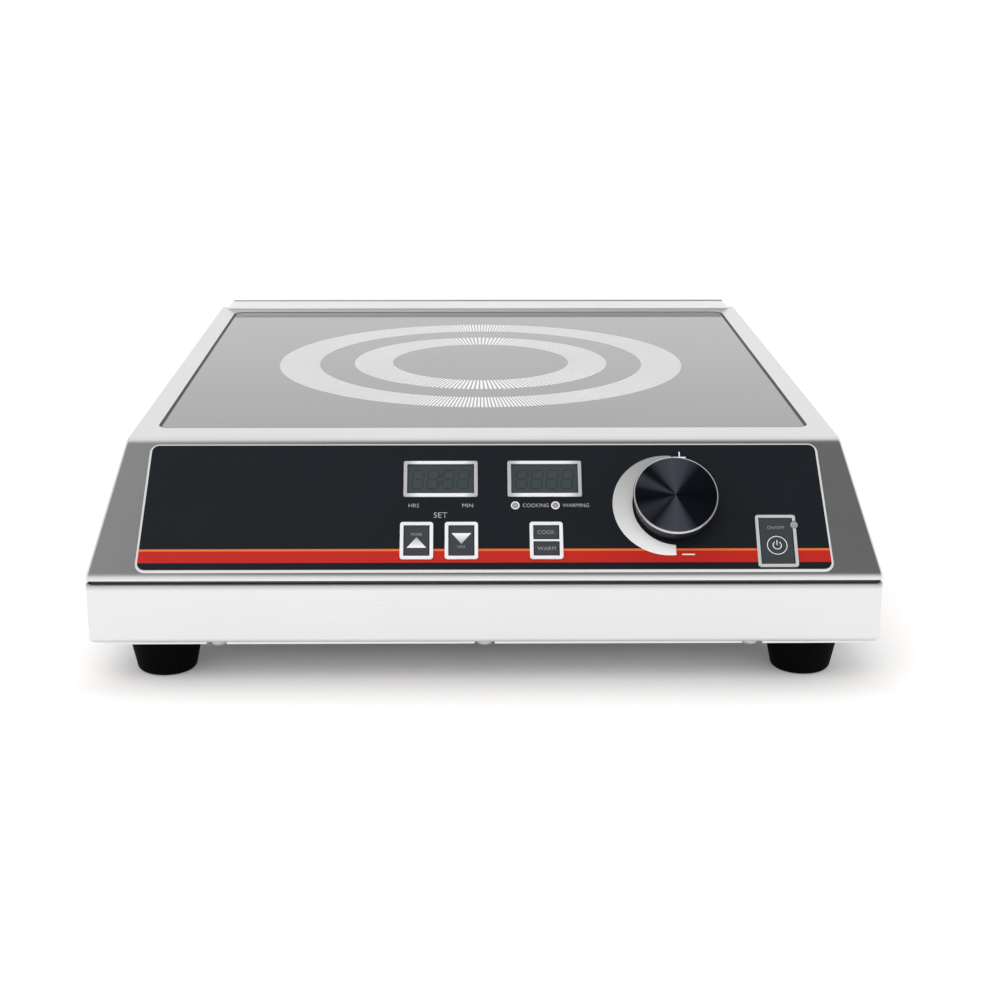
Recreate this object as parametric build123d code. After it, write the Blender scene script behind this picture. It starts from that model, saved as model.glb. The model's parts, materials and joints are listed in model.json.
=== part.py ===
from build123d import *
from math import cos, radians, sin, sqrt, tan
import os

# Countertop induction cooker with a sloping control panel.
# Millimetres and degrees. +Z is up, -Y is the user's side, the origin is on the worktop
# under the middle of the tray.

# Glass plate and the steel deck around it
GLASS_SIZE = 281.0
GLASS_THICKNESS = 4.0
GLASS_CORNER = 5.0
GLASS_RECESS = 0.3
GLASS_CHAMFER = 0.5
SEAL_GAP = 1.0
SEAL_BED = 0.8
LEDGE = 9.0
SIDE_BORDER = 9.8
FRONT_BORDER = 18.2
REAR_BORDER = 10.5
RIDGE_DEPTH = 6.0
RIDGE_HEIGHT = 5.0
RIDGE_END = 5.0

# Pressed top shell
SHELL_SHEET = 1.0
PANEL_LENGTH = 64.12
PANEL_ANGLE = 48.0
SIDE_LEAN = 14.2
REAR_LEAN = 6.0
DECK_BEND = 6.0
REAR_BEND = 3.0
RIM_BEND = 4.5
RIM_LIP = 1.8
CORNER_BEND = 1.2
SKIRT_GAP = 0.5
SKIRT_CORNER = 2.0
FLANGE = 14.0

# Base tray
TRAY_SHEET = 1.0
TRAY_WALL = 25.7
TRAY_CORNER = 2.6
TRAY_BEND = 2.2
TRAY_EDGE = 0.7
TRAY_PROUD = 0.3
SEAM_GAP = 1.4

# Rubber feet
FOOT_HEIGHT = 19.5
FOOT_TOP = 32.8
FOOT_BOTTOM = 24.5
FOOT_EDGE = 2.5
FOOT_SIDE_INSET = 28.2
FOOT_END_INSET = 25.0
FOOT_BORE = 10.0
FOOT_SEAT = 8.0

# Fasteners, nominal four millimetre
SCREW = 4.0
SCREW_HEAD = 8.0
SCREW_HEAD_HEIGHT = 3.2
NUT_FLATS = 7.0
NUT_HEIGHT = 3.2
HOLE_GAP = 0.2
BASE_SCREW_INSET = 9.0
BASE_SCREW_PITCH = 111.0
SIDE_SCREW_PITCH = 150.0

# Control panel, u to the right and v up the slope from its lower edge
FIELD_HEIGHT = 0.6
FIELD_BEVEL = 1.0
FIELD_EDGE = 0.1
OVERLAY_THICKNESS = 0.5
OVERLAY_LOW = 2.85
OVERLAY_TOP_MARGIN = 4.1
OVERLAY_SIDE_MARGIN = 11.5
OVERLAY_FLARE = 2.7
OVERLAY_CORNER = 3.0
BEZEL_HEIGHT = 0.6

# Displays
DISPLAY_WIDTH = 31.0
DISPLAY_HEIGHT = 16.7
DISPLAY_BORDER = 1.5
DISPLAY_DROP = 16.0
HEAT_TO_KNOB = 53.5
TIMER_TO_HEAT = 43.5
LCD_THICKNESS = 3.0
LCD_GAP = 0.2

# Keys
KEY_WIDTH = 13.7
KEY_HEIGHT = 16.8
KEY_BORDER = 1.45
KEY_CORNER = 1.2
KEY_V = 15.52
KEY_PITCH = 18.5
MODE_BAR = 0.8
POWER_WIDTH = 16.6
POWER_HEIGHT = 23.5
POWER_BORDER = 1.3
POWER_INSET = 19.3
POWER_V = 15.12
KEY_GAP = 0.3
KEY_TRAVEL = 0.6
KEY_WING = 1.4
STEM = 3.4

# Lamps
LAMP = 2.5
LAMP_DROP = 12.3
LAMP_INSET = 3.1
LAMP_PITCH = 16.7
POWER_LAMP = 3.3
POWER_LAMP_V = 22.42

# Knob and encoder
KNOB_TO_POWER = 41.7
KNOB_V = 31.82
KNOB = 35.2
KNOB_HEIGHT = 9.0
KNOB_GAP = 1.0
KNOB_WALL = 2.0
KNOB_CHAMFER = 0.9
SHAFT = 6.0
SHAFT_FLAT = 1.5
RUNNING_GAP = 0.05
BUSHING = 7.0
BUSHING_LENGTH = 2.4
ENCODER_SIZE = 13.0

# Control board behind the panel
BOARD_STANDOFF = 7.1
BOARD = 1.6
CONTROL_MARGIN = 12.5
CONTROL_LOW = 5.92
CONTROL_DROP = 7.3
SMALL_SCREW = 3.0
SWITCH_SIZE = 6.0
SWITCH_HEIGHT = 4.5
STEM_SEAT = 1.2
SWITCH_CLEARANCE = 0.8

# Coil stack, measured down from the glass
COIL_GAP = 5.0
COIL_INNER = 22.0
COIL_TURNS = 10
COIL_PITCH = 7.4
COIL_STRAND = 6.0
COIL_HEIGHT = 4.5
FORMER = 3.0
SHEET_MICA = 0.6
FERRITE_LENGTH = 60.0
FERRITE_WIDTH = 12.0
FERRITE_HEIGHT = 5.0
SENSOR_CAP = 12.0
POST = 10.0
POST_OFFSET = 10.0

# Cooling fan
FAN_SIZE = 92.0
FAN_HEIGHT = 25.4
FAN_WALL = 2.0
FAN_SIDE_GAP = 12.0
FAN_REAR_GAP = 28.0
FAN_HUB = 36.0
FAN_TIP_GAP = 1.2
FAN_BLADES = 7
FAN_PITCH = 38.0
FAN_PIN = 3.0
INTAKE_SLOT = 4.5
INTAKE_PITCH = 9.5

# Power electronics
POWER_BOARD_WIDTH = 110.0
POWER_BOARD_DEPTH = 160.0
POWER_BOARD_SIDE_GAP = 10.0
POWER_BOARD_EDGE = 8.0
PART_GAP = 3.0
SUPPORT_HEIGHT = 8.0
SINK_WIDTH = 44.0
SINK_LENGTH = 100.0
SINK_HEIGHT = 34.0
SINK_BASE = 6.0
SINK_FIN = 2.0
SINK_FINS = 8
BIG_CAPACITOR = 40.0
SMALL_CAPACITOR = 32.0
CAPACITOR_WIDTH = 24.0
CAPACITOR_HEIGHT = 30.0
CHOKE = 34.0
TERMINAL_WIDTH = 44.0
TERMINAL_DEPTH = 14.0
TERMINAL_HEIGHT = 16.0
CABLE_WIDTH = 14.0

# Cord inlet and exhaust slots in the rear wall
INLET_INSET = 46.0
INLET_HEIGHT = 17.0
INLET_BORE = 9.0
INLET_FLANGE = 18.0
INLET_LIP = 1.6
VENT_WIDTH = 4.0
VENT_LENGTH = 22.0
VENT_PITCH = 11.0
VENT_COUNT = 14
VENT_GAP = 36.0


def sind(angle):
    return sin(radians(angle))


def cosd(angle):
    return cos(radians(angle))


def tand(angle):
    return tan(radians(angle))


# Levels and outlines that follow from the dimensions above
tray_floor = FOOT_HEIGHT + TRAY_SHEET
tray_top = FOOT_HEIGHT + TRAY_WALL
rim_z = tray_top + SEAM_GAP + RIM_LIP
rise = PANEL_LENGTH * sind(PANEL_ANGLE)
run = PANEL_LENGTH * cosd(PANEL_ANGLE)
deck_z = rim_z + rise
pocket = GLASS_SIZE + 2 * SEAL_GAP
pocket_corner = GLASS_CORNER + SEAL_GAP
deck_half = pocket / 2 + SIDE_BORDER
deck_depth = FRONT_BORDER + pocket + REAR_BORDER + RIDGE_DEPTH + REAR_BEND
shell_half = deck_half + rise * tand(SIDE_LEAN)
shell_depth = run + deck_depth + rise * tand(REAR_LEAN)
tray_half = shell_half + TRAY_PROUD
tray_depth = shell_depth + 2 * TRAY_PROUD
skirt_half = tray_half - TRAY_SHEET - SKIRT_GAP
skirt_end = tray_depth / 2 - TRAY_SHEET - SKIRT_GAP
shell_front = -shell_depth / 2
deck_front = shell_front + run
glass_y = deck_front + FRONT_BORDER + pocket / 2
glass_top_z = deck_z - GLASS_RECESS
glass_low_z = glass_top_z - GLASS_THICKNESS
seat_z = glass_low_z - SEAL_BED
foot_x = tray_half - FOOT_SIDE_INSET
foot_y = tray_depth / 2 - FOOT_END_INSET
foot_places = [(-foot_x, -foot_y), (foot_x, -foot_y), (-foot_x, foot_y), (foot_x, foot_y)]
screw_hole = SCREW / 2 + HOLE_GAP
flange_half = skirt_half - SHELL_SHEET - FLANGE
flange_end = skirt_end - SHELL_SHEET - FLANGE
inlet_x = flange_half - INLET_INSET
coil_outer = COIL_INNER + COIL_TURNS * COIL_PITCH
post_radius = coil_outer + POST_OFFSET
fan_x = -(flange_half - FAN_SIDE_GAP - FAN_SIZE / 2)
fan_y = flange_end - FAN_REAR_GAP - FAN_SIZE / 2
small_hole = SMALL_SCREW / 2 + HOLE_GAP

# The panel frame lies on the slope, x along u, y along v, z out of the steel
PANEL = Plane(
    origin=(0, shell_front, rim_z), x_dir=(1, 0, 0), z_dir=(0, -sind(PANEL_ANGLE), cosd(PANEL_ANGLE))
)
overlay_half = deck_half - OVERLAY_SIDE_MARGIN
power_u = overlay_half - POWER_INSET
knob_u = power_u - KNOB_TO_POWER
heat_u = knob_u - HEAT_TO_KNOB
timer_u = heat_u - TIMER_TO_HEAT
display_v = PANEL_LENGTH - OVERLAY_TOP_MARGIN - DISPLAY_DROP
up_u = timer_u - KEY_PITCH / 2 - 0.6
down_u = up_u + KEY_PITCH
mode_u = heat_u + 0.2
lamp_v = display_v - LAMP_DROP
heating_lamp_u = heat_u - DISPLAY_WIDTH / 2 + LAMP_INSET
holding_lamp_u = heating_lamp_u + LAMP_PITCH
overlay_back = FIELD_HEIGHT
overlay_face = overlay_back + OVERLAY_THICKNESS
bezel_face = overlay_face + BEZEL_HEIGHT
steel_back = overlay_back - SHELL_SHEET
board_face = steel_back - BOARD_STANDOFF
board_back = board_face - BOARD


def post(radius, low, high, x=0.0, y=0.0):
    """Upright cylinder between two levels"""
    return Pos(x, y, low) * Cylinder(radius, high - low, align=(Align.CENTER, Align.CENTER, Align.MIN))


def block(width, depth, low, high, x=0.0, y=0.0):
    """Upright box between two levels"""
    return Pos(x, y, low) * Box(width, depth, high - low, align=(Align.CENTER, Align.CENTER, Align.MIN))


def slab(width, depth, radius, low, high, x=0.0, y=0.0):
    """Upright block with rounded corners between two levels"""
    return extrude(Pos(x, y, low) * RectangleRounded(width, depth, radius), high - low)


def pan_screw(length):
    """Pan head screw standing on z=0, head below"""
    head = post(SCREW_HEAD / 2, -SCREW_HEAD_HEIGHT, 0)
    head = fillet(head.edges().sort_by(Axis.Z)[0], SCREW_HEAD_HEIGHT * 0.55)
    head -= block(SCREW_HEAD * 0.6, 1.0, -SCREW_HEAD_HEIGHT, -SCREW_HEAD_HEIGHT * 0.6)
    head -= block(1.0, SCREW_HEAD * 0.6, -SCREW_HEAD_HEIGHT, -SCREW_HEAD_HEIGHT * 0.6)
    return head + post(SCREW / 2, 0, length)


def hex_nut(flats, height, bore):
    """Hexagon nut standing on z=0"""
    return extrude(RegularPolygon(flats / 2, 6, major_radius=False), height) - post(bore, 0, height)


# Glass plate
glass_top = slab(GLASS_SIZE, GLASS_SIZE, GLASS_CORNER, glass_low_z, glass_top_z, 0, glass_y)
glass_top = chamfer(glass_top.faces().sort_by(Axis.Z)[-1].edges(), GLASS_CHAMFER)

# Silicone seal, an angle section under the plate and around its edge
seal_top = glass_top_z - GLASS_CHAMFER - 0.1
glass_seal = slab(pocket, pocket, pocket_corner, seat_z, seal_top, 0, glass_y)
glass_seal -= slab(GLASS_SIZE, GLASS_SIZE, GLASS_CORNER, glass_low_z, seal_top, 0, glass_y)
seal_window = pocket - 2 * LEDGE + 2.0
glass_seal -= slab(seal_window, seal_window, pocket_corner, seat_z, seal_top, 0, glass_y)


# Top shell: hollow hood over a skirt that stands inside the tray
def folded(corners):
    """Closed outline of (across, height, bend) corners, where a bend of nought stays sharp"""
    outline = make_face(Polyline(*[(across, height) for across, height, bend in corners], close=True))
    for across, height, bend in corners:
        if bend:
            outline = fillet(outline.vertices().sort_by_distance((across, height, 0))[0], bend)
    return outline


def hood(inset):
    """Lip, leaning walls and deck, every face taken in by the inset"""
    over = 10.0
    top = deck_z - inset
    low = rim_z - RIM_LIP + inset
    fold = 0 if inset else RIM_BEND
    front = shell_front + inset
    rear = shell_depth / 2 - inset
    half = shell_half - inset
    front_fold = rim_z - inset * tand((90 - PANEL_ANGLE) / 2)
    rear_fold = rim_z - inset * tand(REAR_LEAN / 2)
    side_fold = rim_z - inset * tand(SIDE_LEAN / 2)
    high_front = deck_front + inset * tand(PANEL_ANGLE / 2)
    high_rear = deck_front + deck_depth - inset * tand((90 - REAR_LEAN) / 2)
    high_half = half - (top + over - side_fold) * tand(SIDE_LEAN)
    along = folded([
        (front, low, 0), (front, front_fold, fold), (high_front, top, DECK_BEND - inset),
        (high_rear, top, REAR_BEND - inset), (rear, rear_fold, fold), (rear, low, 0),
    ])
    across = folded([
        (-half, low - over, 0), (-half, side_fold, fold), (-high_half, top + over, 0),
        (high_half, top + over, 0), (half, side_fold, fold), (half, low - over, 0),
    ])
    body = extrude(Plane.YZ * along, 2 * shell_half, both=True)
    return body & extrude(Plane.XZ * across, shell_depth, both=True)


def is_corner(edge):
    """Edges where the side walls meet the other walls and the deck"""
    middle = edge.center()
    at_deck = middle.Z > deck_z - 0.01 and abs(middle.X) > deck_half - 0.01
    return edge.bounding_box().size.Z > 0.01 or at_deck


def ridge(inset):
    """Rounded bead across the rear of the deck"""
    middle = deck_front + deck_depth - REAR_BEND - RIDGE_DEPTH / 2
    width = 2 * (deck_half - REAR_BEND - inset)
    depth = RIDGE_DEPTH - 2 * inset
    low = Pos(0, middle, deck_z - SHELL_SHEET) * Rectangle(width, depth)
    top = deck_z + RIDGE_HEIGHT - inset
    high = Pos(0, middle, top) * Rectangle(width - 2 * RIDGE_END, depth * 0.6)
    bead = loft([low, high], ruled=True)
    return fillet(bead.faces().sort_by(Axis.Z)[-1].edges(), depth * 0.2)


def overlay_outline(grow):
    """Trapezoid of the control film on the panel frame, grown on every side"""
    low = OVERLAY_LOW - grow
    high = PANEL_LENGTH - OVERLAY_TOP_MARGIN + grow
    high_half = overlay_half + grow
    low_half = high_half + OVERLAY_FLARE
    corners = [(-low_half, low), (low_half, low), (high_half, high), (-high_half, high)]
    outline = make_face(Polyline(*corners, close=True))
    return fillet(outline.vertices(), OVERLAY_CORNER + grow)


def panel_cut(sketch, low, high):
    """Prism on the panel frame between two depths"""
    return PANEL * Pos(0, 0, low) * extrude(sketch, high - low)


flange_floor = tray_floor + SHELL_SHEET
skirt = slab(2 * skirt_half, 2 * skirt_end, SKIRT_CORNER, tray_floor, rim_z)
skirt = fillet(skirt.faces().sort_by(Axis.Z)[0].edges(), TRAY_BEND - TRAY_SHEET + 0.3)
inner_half = skirt_half - SHELL_SHEET
inner_end = skirt_end - SHELL_SHEET
inner = slab(2 * inner_half, 2 * inner_end, SKIRT_CORNER - SHELL_SHEET, flange_floor, rim_z + SHELL_SHEET)
body = hood(0)
body = fillet(body.edges().filter_by(is_corner), CORNER_BEND)
top_shell = body + skirt + ridge(0)
top_shell -= hood(SHELL_SHEET) + inner + ridge(SHELL_SHEET)
top_shell -= slab(2 * flange_half, 2 * flange_end, 6.0, tray_floor, flange_floor)

# Stepped seat for the glass
seat_outer = pocket + 2 * SHELL_SHEET
seat_corner = pocket_corner + SHELL_SHEET
top_shell += slab(seat_outer, seat_outer, seat_corner, seat_z - SHELL_SHEET, deck_z - 0.2, 0, glass_y)
top_shell -= slab(pocket, pocket, pocket_corner, seat_z, deck_z + 1, 0, glass_y)
window = pocket - 2 * LEDGE
top_shell -= slab(window, window, pocket_corner, seat_z - SHELL_SHEET, seat_z, 0, glass_y)

# Raised field with a bevelled edge, pressed out of the panel for the control film
field_foot = PANEL * overlay_outline(FIELD_EDGE + FIELD_BEVEL)
field_head = PANEL * Pos(0, 0, overlay_back) * overlay_outline(FIELD_EDGE)
top_shell += loft([field_foot, field_head], ruled=True)
top_shell -= panel_cut(overlay_outline(0), -2 * SHELL_SHEET, steel_back)

# Windows that pass through the film and the steel
display_window = Rectangle(DISPLAY_WIDTH - 2 * DISPLAY_BORDER, DISPLAY_HEIGHT - 2 * DISPLAY_BORDER)
key_window = Rectangle(KEY_WIDTH - 2 * KEY_BORDER, KEY_HEIGHT - 2 * KEY_BORDER)
power_window = Rectangle(POWER_WIDTH - 2 * POWER_BORDER, POWER_HEIGHT - 2 * POWER_BORDER)
power_lamp_u = power_u + POWER_WIDTH / 2 - POWER_BORDER / 2
lamp_places = [(heating_lamp_u, lamp_v), (holding_lamp_u, lamp_v)]
openings = Pos(timer_u, display_v) * display_window + Pos(heat_u, display_v) * display_window
for key_u in (up_u, down_u, mode_u):
    openings += Pos(key_u, KEY_V) * key_window
openings += Pos(power_u, POWER_V) * power_window
openings += Pos(power_lamp_u, POWER_LAMP_V) * Circle(POWER_LAMP / 2 + 0.1)
for lamp_place in lamp_places:
    openings += Pos(*lamp_place) * Circle(LAMP / 2 + 0.1)
openings += Pos(knob_u, KNOB_V) * Circle(BUSHING / 2 + HOLE_GAP)
through = panel_cut(openings, steel_back - 1, bezel_face + 1)
top_shell -= through
control_overlay = panel_cut(overlay_outline(0), overlay_back, overlay_face) - through

# Exhaust slots and the cord inlet in the rear wall
REAR = Plane(
    origin=(0, shell_depth / 2, rim_z), x_dir=(-1, 0, 0), z_dir=(0, cosd(REAR_LEAN), sind(REAR_LEAN))
)
vent = SlotOverall(VENT_LENGTH, VENT_WIDTH, rotation=90)
vents = Sketch()
for vent_index in range(VENT_COUNT):
    vent_u = VENT_GAP - inlet_x + VENT_PITCH * vent_index
    vents += Pos(vent_u, rise / 2) * vent
top_shell -= REAR * Pos(0, 0, -3 * SHELL_SHEET) * extrude(vents, 5 * SHELL_SHEET)
inlet_neck = INLET_BORE / 2 + 2.0
top_shell -= REAR * post(inlet_neck, -3 * SHELL_SHEET, 2 * SHELL_SHEET, -inlet_x, INLET_HEIGHT)

# Grommet of the cord inlet, two lips and a neck through the steel
cord_grommet = post(inlet_neck, -SHELL_SHEET, 0)
cord_grommet += post(INLET_FLANGE / 2, 0, INLET_LIP)
cord_grommet += post(INLET_FLANGE / 2 - 1.5, -SHELL_SHEET - 4 * INLET_LIP, -SHELL_SHEET)
cord_grommet -= post(INLET_BORE / 2, -20, 20)
cord_grommet = REAR * Pos(-inlet_x, INLET_HEIGHT, 0) * cord_grommet

# Base tray
base_tray = slab(2 * tray_half, tray_depth, TRAY_CORNER, FOOT_HEIGHT, tray_top)
base_tray = fillet(base_tray.faces().sort_by(Axis.Z)[0].edges(), TRAY_BEND)
base_tray = fillet(base_tray.faces().sort_by(Axis.Z)[-1].edges(), TRAY_EDGE)
hollow_half = tray_half - TRAY_SHEET
hollow_depth = tray_depth - 2 * TRAY_SHEET
tray_hollow = slab(2 * hollow_half, hollow_depth, TRAY_CORNER - TRAY_SHEET, tray_floor, rim_z)
base_tray -= fillet(tray_hollow.faces().sort_by(Axis.Z)[0].edges(), TRAY_BEND - TRAY_SHEET)

# Screw places around the tray floor
edge_y = tray_depth / 2 - BASE_SCREW_INSET
edge_x = tray_half - BASE_SCREW_INSET
base_places = [(x, y) for y in (-edge_y, edge_y) for x in (-BASE_SCREW_PITCH, 0, BASE_SCREW_PITCH)]
base_places += [(x, y) for x in (-edge_x, edge_x) for y in (-SIDE_SCREW_PITCH / 2, SIDE_SCREW_PITCH / 2)]
post_places = [(post_radius * cosd(a), glass_y + post_radius * sind(a)) for a in (90, 210, 330)]
fan_corner = FAN_SIZE / 2 - 5.0
fan_places = [(fan_x + x, fan_y + y) for x in (-fan_corner, fan_corner) for y in (-fan_corner, fan_corner)]
for place in base_places + foot_places + post_places + fan_places:
    base_tray -= post(screw_hole, FOOT_HEIGHT - 1, tray_floor + 1, *place)
for place in base_places:
    top_shell -= post(screw_hole, tray_floor - 1, flange_floor + 1, *place)

# Air intake slots under the fan
intake_radius = FAN_SIZE / 2 - FAN_WALL - 2.0
intake_rows = int(intake_radius // INTAKE_PITCH)
for row in range(-intake_rows, intake_rows + 1):
    offset_y = row * INTAKE_PITCH
    reach = sqrt(intake_radius ** 2 - offset_y ** 2)
    if reach > 2 * INTAKE_SLOT:
        slot = SlotOverall(reach - 3.0, INTAKE_SLOT)
        for side in (-1, 1):
            cut = extrude(slot, 4 * TRAY_SHEET)
            cut_x = fan_x + side * (reach + 3.0) / 2
            base_tray -= Pos(cut_x, fan_y + offset_y, FOOT_HEIGHT - TRAY_SHEET) * cut

# Feet, turned rubber cones with a stepped hole for the screw
foot_corners = [(0, 0), (FOOT_BOTTOM / 2, 0), (FOOT_TOP / 2, FOOT_HEIGHT), (0, FOOT_HEIGHT)]
foot_profile = Polyline(*foot_corners, close=True)
foot = revolve(Plane.XZ * make_face(foot_profile), Axis.Z)
foot = fillet(foot.edges().sort_by(Axis.Z)[0], FOOT_EDGE)
foot -= post(FOOT_BORE / 2, -1, FOOT_HEIGHT - FOOT_SEAT)
foot -= post(screw_hole, 0, FOOT_HEIGHT + 1)
feet = [Pos(x, y, 0) * foot for x, y in foot_places]
foot_screw = Pos(0, 0, FOOT_HEIGHT - FOOT_SEAT) * pan_screw(FOOT_SEAT + TRAY_SHEET + NUT_HEIGHT + 2.0)
foot_screws = [Pos(x, y, 0) * foot_screw for x, y in foot_places]
base_screw = Pos(0, 0, FOOT_HEIGHT) * pan_screw(TRAY_SHEET + SHELL_SHEET + NUT_HEIGHT + 1.0)
base_screws = [Pos(x, y, 0) * base_screw for x, y in base_places]
nut = hex_nut(NUT_FLATS, NUT_HEIGHT, SCREW / 2)
hex_nuts = [Pos(x, y, tray_floor) * nut for x, y in foot_places]
hex_nuts += [Pos(x, y, flange_floor) * nut for x, y in base_places]

# Display bezels, glasses and their holders on the control board
display_frame = extrude(RectangleRounded(DISPLAY_WIDTH, DISPLAY_HEIGHT, 0.8) - display_window, BEZEL_HEIGHT)
display_frame = chamfer(display_frame.faces().sort_by(Axis.Z)[-1].outer_wire().edges(), 0.25)
lcd_face = overlay_face - 0.3
lcd_back = lcd_face - LCD_THICKNESS
lcd_width = DISPLAY_WIDTH - 2 * DISPLAY_BORDER - 2 * LCD_GAP
lcd_height = DISPLAY_HEIGHT - 2 * DISPLAY_BORDER - 2 * LCD_GAP
lcd = block(lcd_width, lcd_height, lcd_back, lcd_face)
holder = block(lcd_width, lcd_height, board_face, lcd_back)
holder -= block(lcd_width - 4, lcd_height - 4, board_face, lcd_back)
timer_bezel = PANEL * Pos(timer_u, display_v, overlay_face) * display_frame
heat_bezel = PANEL * Pos(heat_u, display_v, overlay_face) * display_frame
timer_lcd = PANEL * Pos(timer_u, display_v, 0) * lcd
heat_lcd = PANEL * Pos(heat_u, display_v, 0) * lcd
lcd_holders = [PANEL * Pos(u, display_v, 0) * holder for u in (timer_u, heat_u)]

# Key bezels, raised frames on the film
key_frame = extrude(RectangleRounded(KEY_WIDTH, KEY_HEIGHT, KEY_CORNER) - key_window, BEZEL_HEIGHT)
mode_frame = key_frame + block(KEY_WIDTH - KEY_BORDER, MODE_BAR, 0, BEZEL_HEIGHT)
power_frame = extrude(RectangleRounded(POWER_WIDTH, POWER_HEIGHT, KEY_CORNER) - power_window, BEZEL_HEIGHT)
lamp_du = power_lamp_u - power_u
lamp_dv = POWER_LAMP_V - POWER_V
power_frame -= post(POWER_LAMP / 2 + 0.1, -1, BEZEL_HEIGHT + 1, lamp_du, lamp_dv)
up_key_bezel = PANEL * Pos(up_u, KEY_V, overlay_face) * key_frame
down_key_bezel = PANEL * Pos(down_u, KEY_V, overlay_face) * key_frame
mode_key_bezel = PANEL * Pos(mode_u, KEY_V, overlay_face) * mode_frame
power_key_bezel = PANEL * Pos(power_u, POWER_V, overlay_face) * power_frame

# Keys: a cap in the window, wings behind the steel, a stem down into its switch
key_top = bezel_face - 0.15
wing_top = steel_back - KEY_GAP
stem_end = board_face + SWITCH_HEIGHT - STEM_SEAT
switch_well = STEM_SEAT + KEY_TRAVEL + SWITCH_CLEARANCE


def key(width, height):
    """Key cap with its wings and stem on the panel frame"""
    cap = block(width, height, wing_top - 0.9, key_top)
    cap = fillet(cap.edges().filter_by(Axis.Z), 0.5)
    cap = chamfer(cap.faces().sort_by(Axis.Z)[-1].edges(), 0.2)
    wings = block(width + 2 * (KEY_GAP + KEY_WING), height - 1.0, wing_top - 1.0, wing_top)
    return cap + wings + post(STEM / 2, stem_end, wing_top)


cap_width = KEY_WIDTH - 2 * KEY_BORDER - 2 * KEY_GAP
cap_height = KEY_HEIGHT - 2 * KEY_BORDER - 2 * KEY_GAP
half_height = (cap_height - MODE_BAR - 2 * KEY_GAP) / 2
half_step = (half_height + MODE_BAR) / 2 + KEY_GAP
power_cap_width = POWER_WIDTH - 2 * POWER_BORDER - 2 * KEY_GAP
power_cap_height = POWER_HEIGHT - 2 * POWER_BORDER - 2 * KEY_GAP
up_key = PANEL * Pos(up_u, KEY_V, 0) * key(cap_width, cap_height)
down_key = PANEL * Pos(down_u, KEY_V, 0) * key(cap_width, cap_height)
heat_key = PANEL * Pos(mode_u, KEY_V + half_step, 0) * key(cap_width, half_height)
hold_key = PANEL * Pos(mode_u, KEY_V - half_step, 0) * key(cap_width, half_height)
power_key = key(power_cap_width, power_cap_height)
power_key -= post(POWER_LAMP / 2 + KEY_GAP, board_face, bezel_face + 1, lamp_du, lamp_dv)
power_key = PANEL * Pos(power_u, POWER_V, 0) * power_key

# Switches under the keys
switch = block(SWITCH_SIZE, SWITCH_SIZE, board_face, board_face + SWITCH_HEIGHT)
switch_top = board_face + SWITCH_HEIGHT
switch -= post(STEM / 2 + KEY_GAP, switch_top - switch_well, switch_top + 1)
switch_places = [(up_u, KEY_V), (down_u, KEY_V), (mode_u, KEY_V + half_step)]
switch_places += [(mode_u, KEY_V - half_step), (power_u, POWER_V)]
key_switches = [PANEL * Pos(u, v, 0) * switch for u, v in switch_places]


# Lamps, light pipes from the board to the film
def lamp(diameter, top):
    """Round light pipe with a foot on the board"""
    pipe = post(diameter / 2, board_face, top)
    pipe = fillet(pipe.edges().sort_by(Axis.Z)[-1], diameter * 0.15)
    return pipe + post(diameter / 2 + 0.6, board_face, board_face + 1.2)


mode_lamps = [PANEL * Pos(u, v, 0) * lamp(LAMP, overlay_face + 0.2) for u, v in lamp_places]
power_lamp = PANEL * Pos(power_lamp_u, POWER_LAMP_V, 0) * lamp(POWER_LAMP, bezel_face)

# Knob, a spun cup on a hub with a flat-sided bore
knob_low = overlay_face + KNOB_GAP
knob_high = knob_low + KNOB_HEIGHT
cup_inner = KNOB / 2 - KNOB_WALL
knob_cap = post(KNOB / 2, knob_low, knob_high)
knob_cap = chamfer(knob_cap.edges().sort_by(Axis.Z)[-1], KNOB_CHAMFER)
knob_cap -= post(cup_inner, knob_low, knob_high - KNOB_WALL)
knob_cap = chamfer(knob_cap.edges().group_by(Axis.Z)[0].sort_by(SortBy.LENGTH)[-1], 0.4)
bushing_end = overlay_face + BUSHING_LENGTH
hub_low = bushing_end + 0.6
hub_high = knob_high - KNOB_WALL
shaft_end = hub_high - 0.4
knob_hub = post(cup_inner, hub_high - 2.0, hub_high) + post(SHAFT / 2 + 3.0, hub_low, hub_high)
for rib_angle in (0, 60, 120):
    knob_hub += Rot(0, 0, rib_angle) * block(2 * cup_inner - 1.0, 1.4, hub_high - 3.6, hub_high)
flat_bore = Circle(SHAFT / 2) - Pos(SHAFT - SHAFT_FLAT, 0) * Rectangle(SHAFT, SHAFT)
knob_hub -= Pos(0, 0, hub_low) * extrude(flat_bore, shaft_end - hub_low)
encoder_shaft = post(SHAFT / 2, steel_back - 1.5, hub_low)
encoder_shaft += Pos(0, 0, hub_low) * extrude(flat_bore, shaft_end - hub_low)
encoder_shaft += post(SHAFT / 2 + 1.2, board_face + 1.5, steel_back - 1.5)
KNOB_AXIS = PANEL * Pos(knob_u, KNOB_V, 0)
knob_cap = KNOB_AXIS * knob_cap
knob_hub = KNOB_AXIS * knob_hub
encoder_shaft = KNOB_AXIS * encoder_shaft

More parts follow.
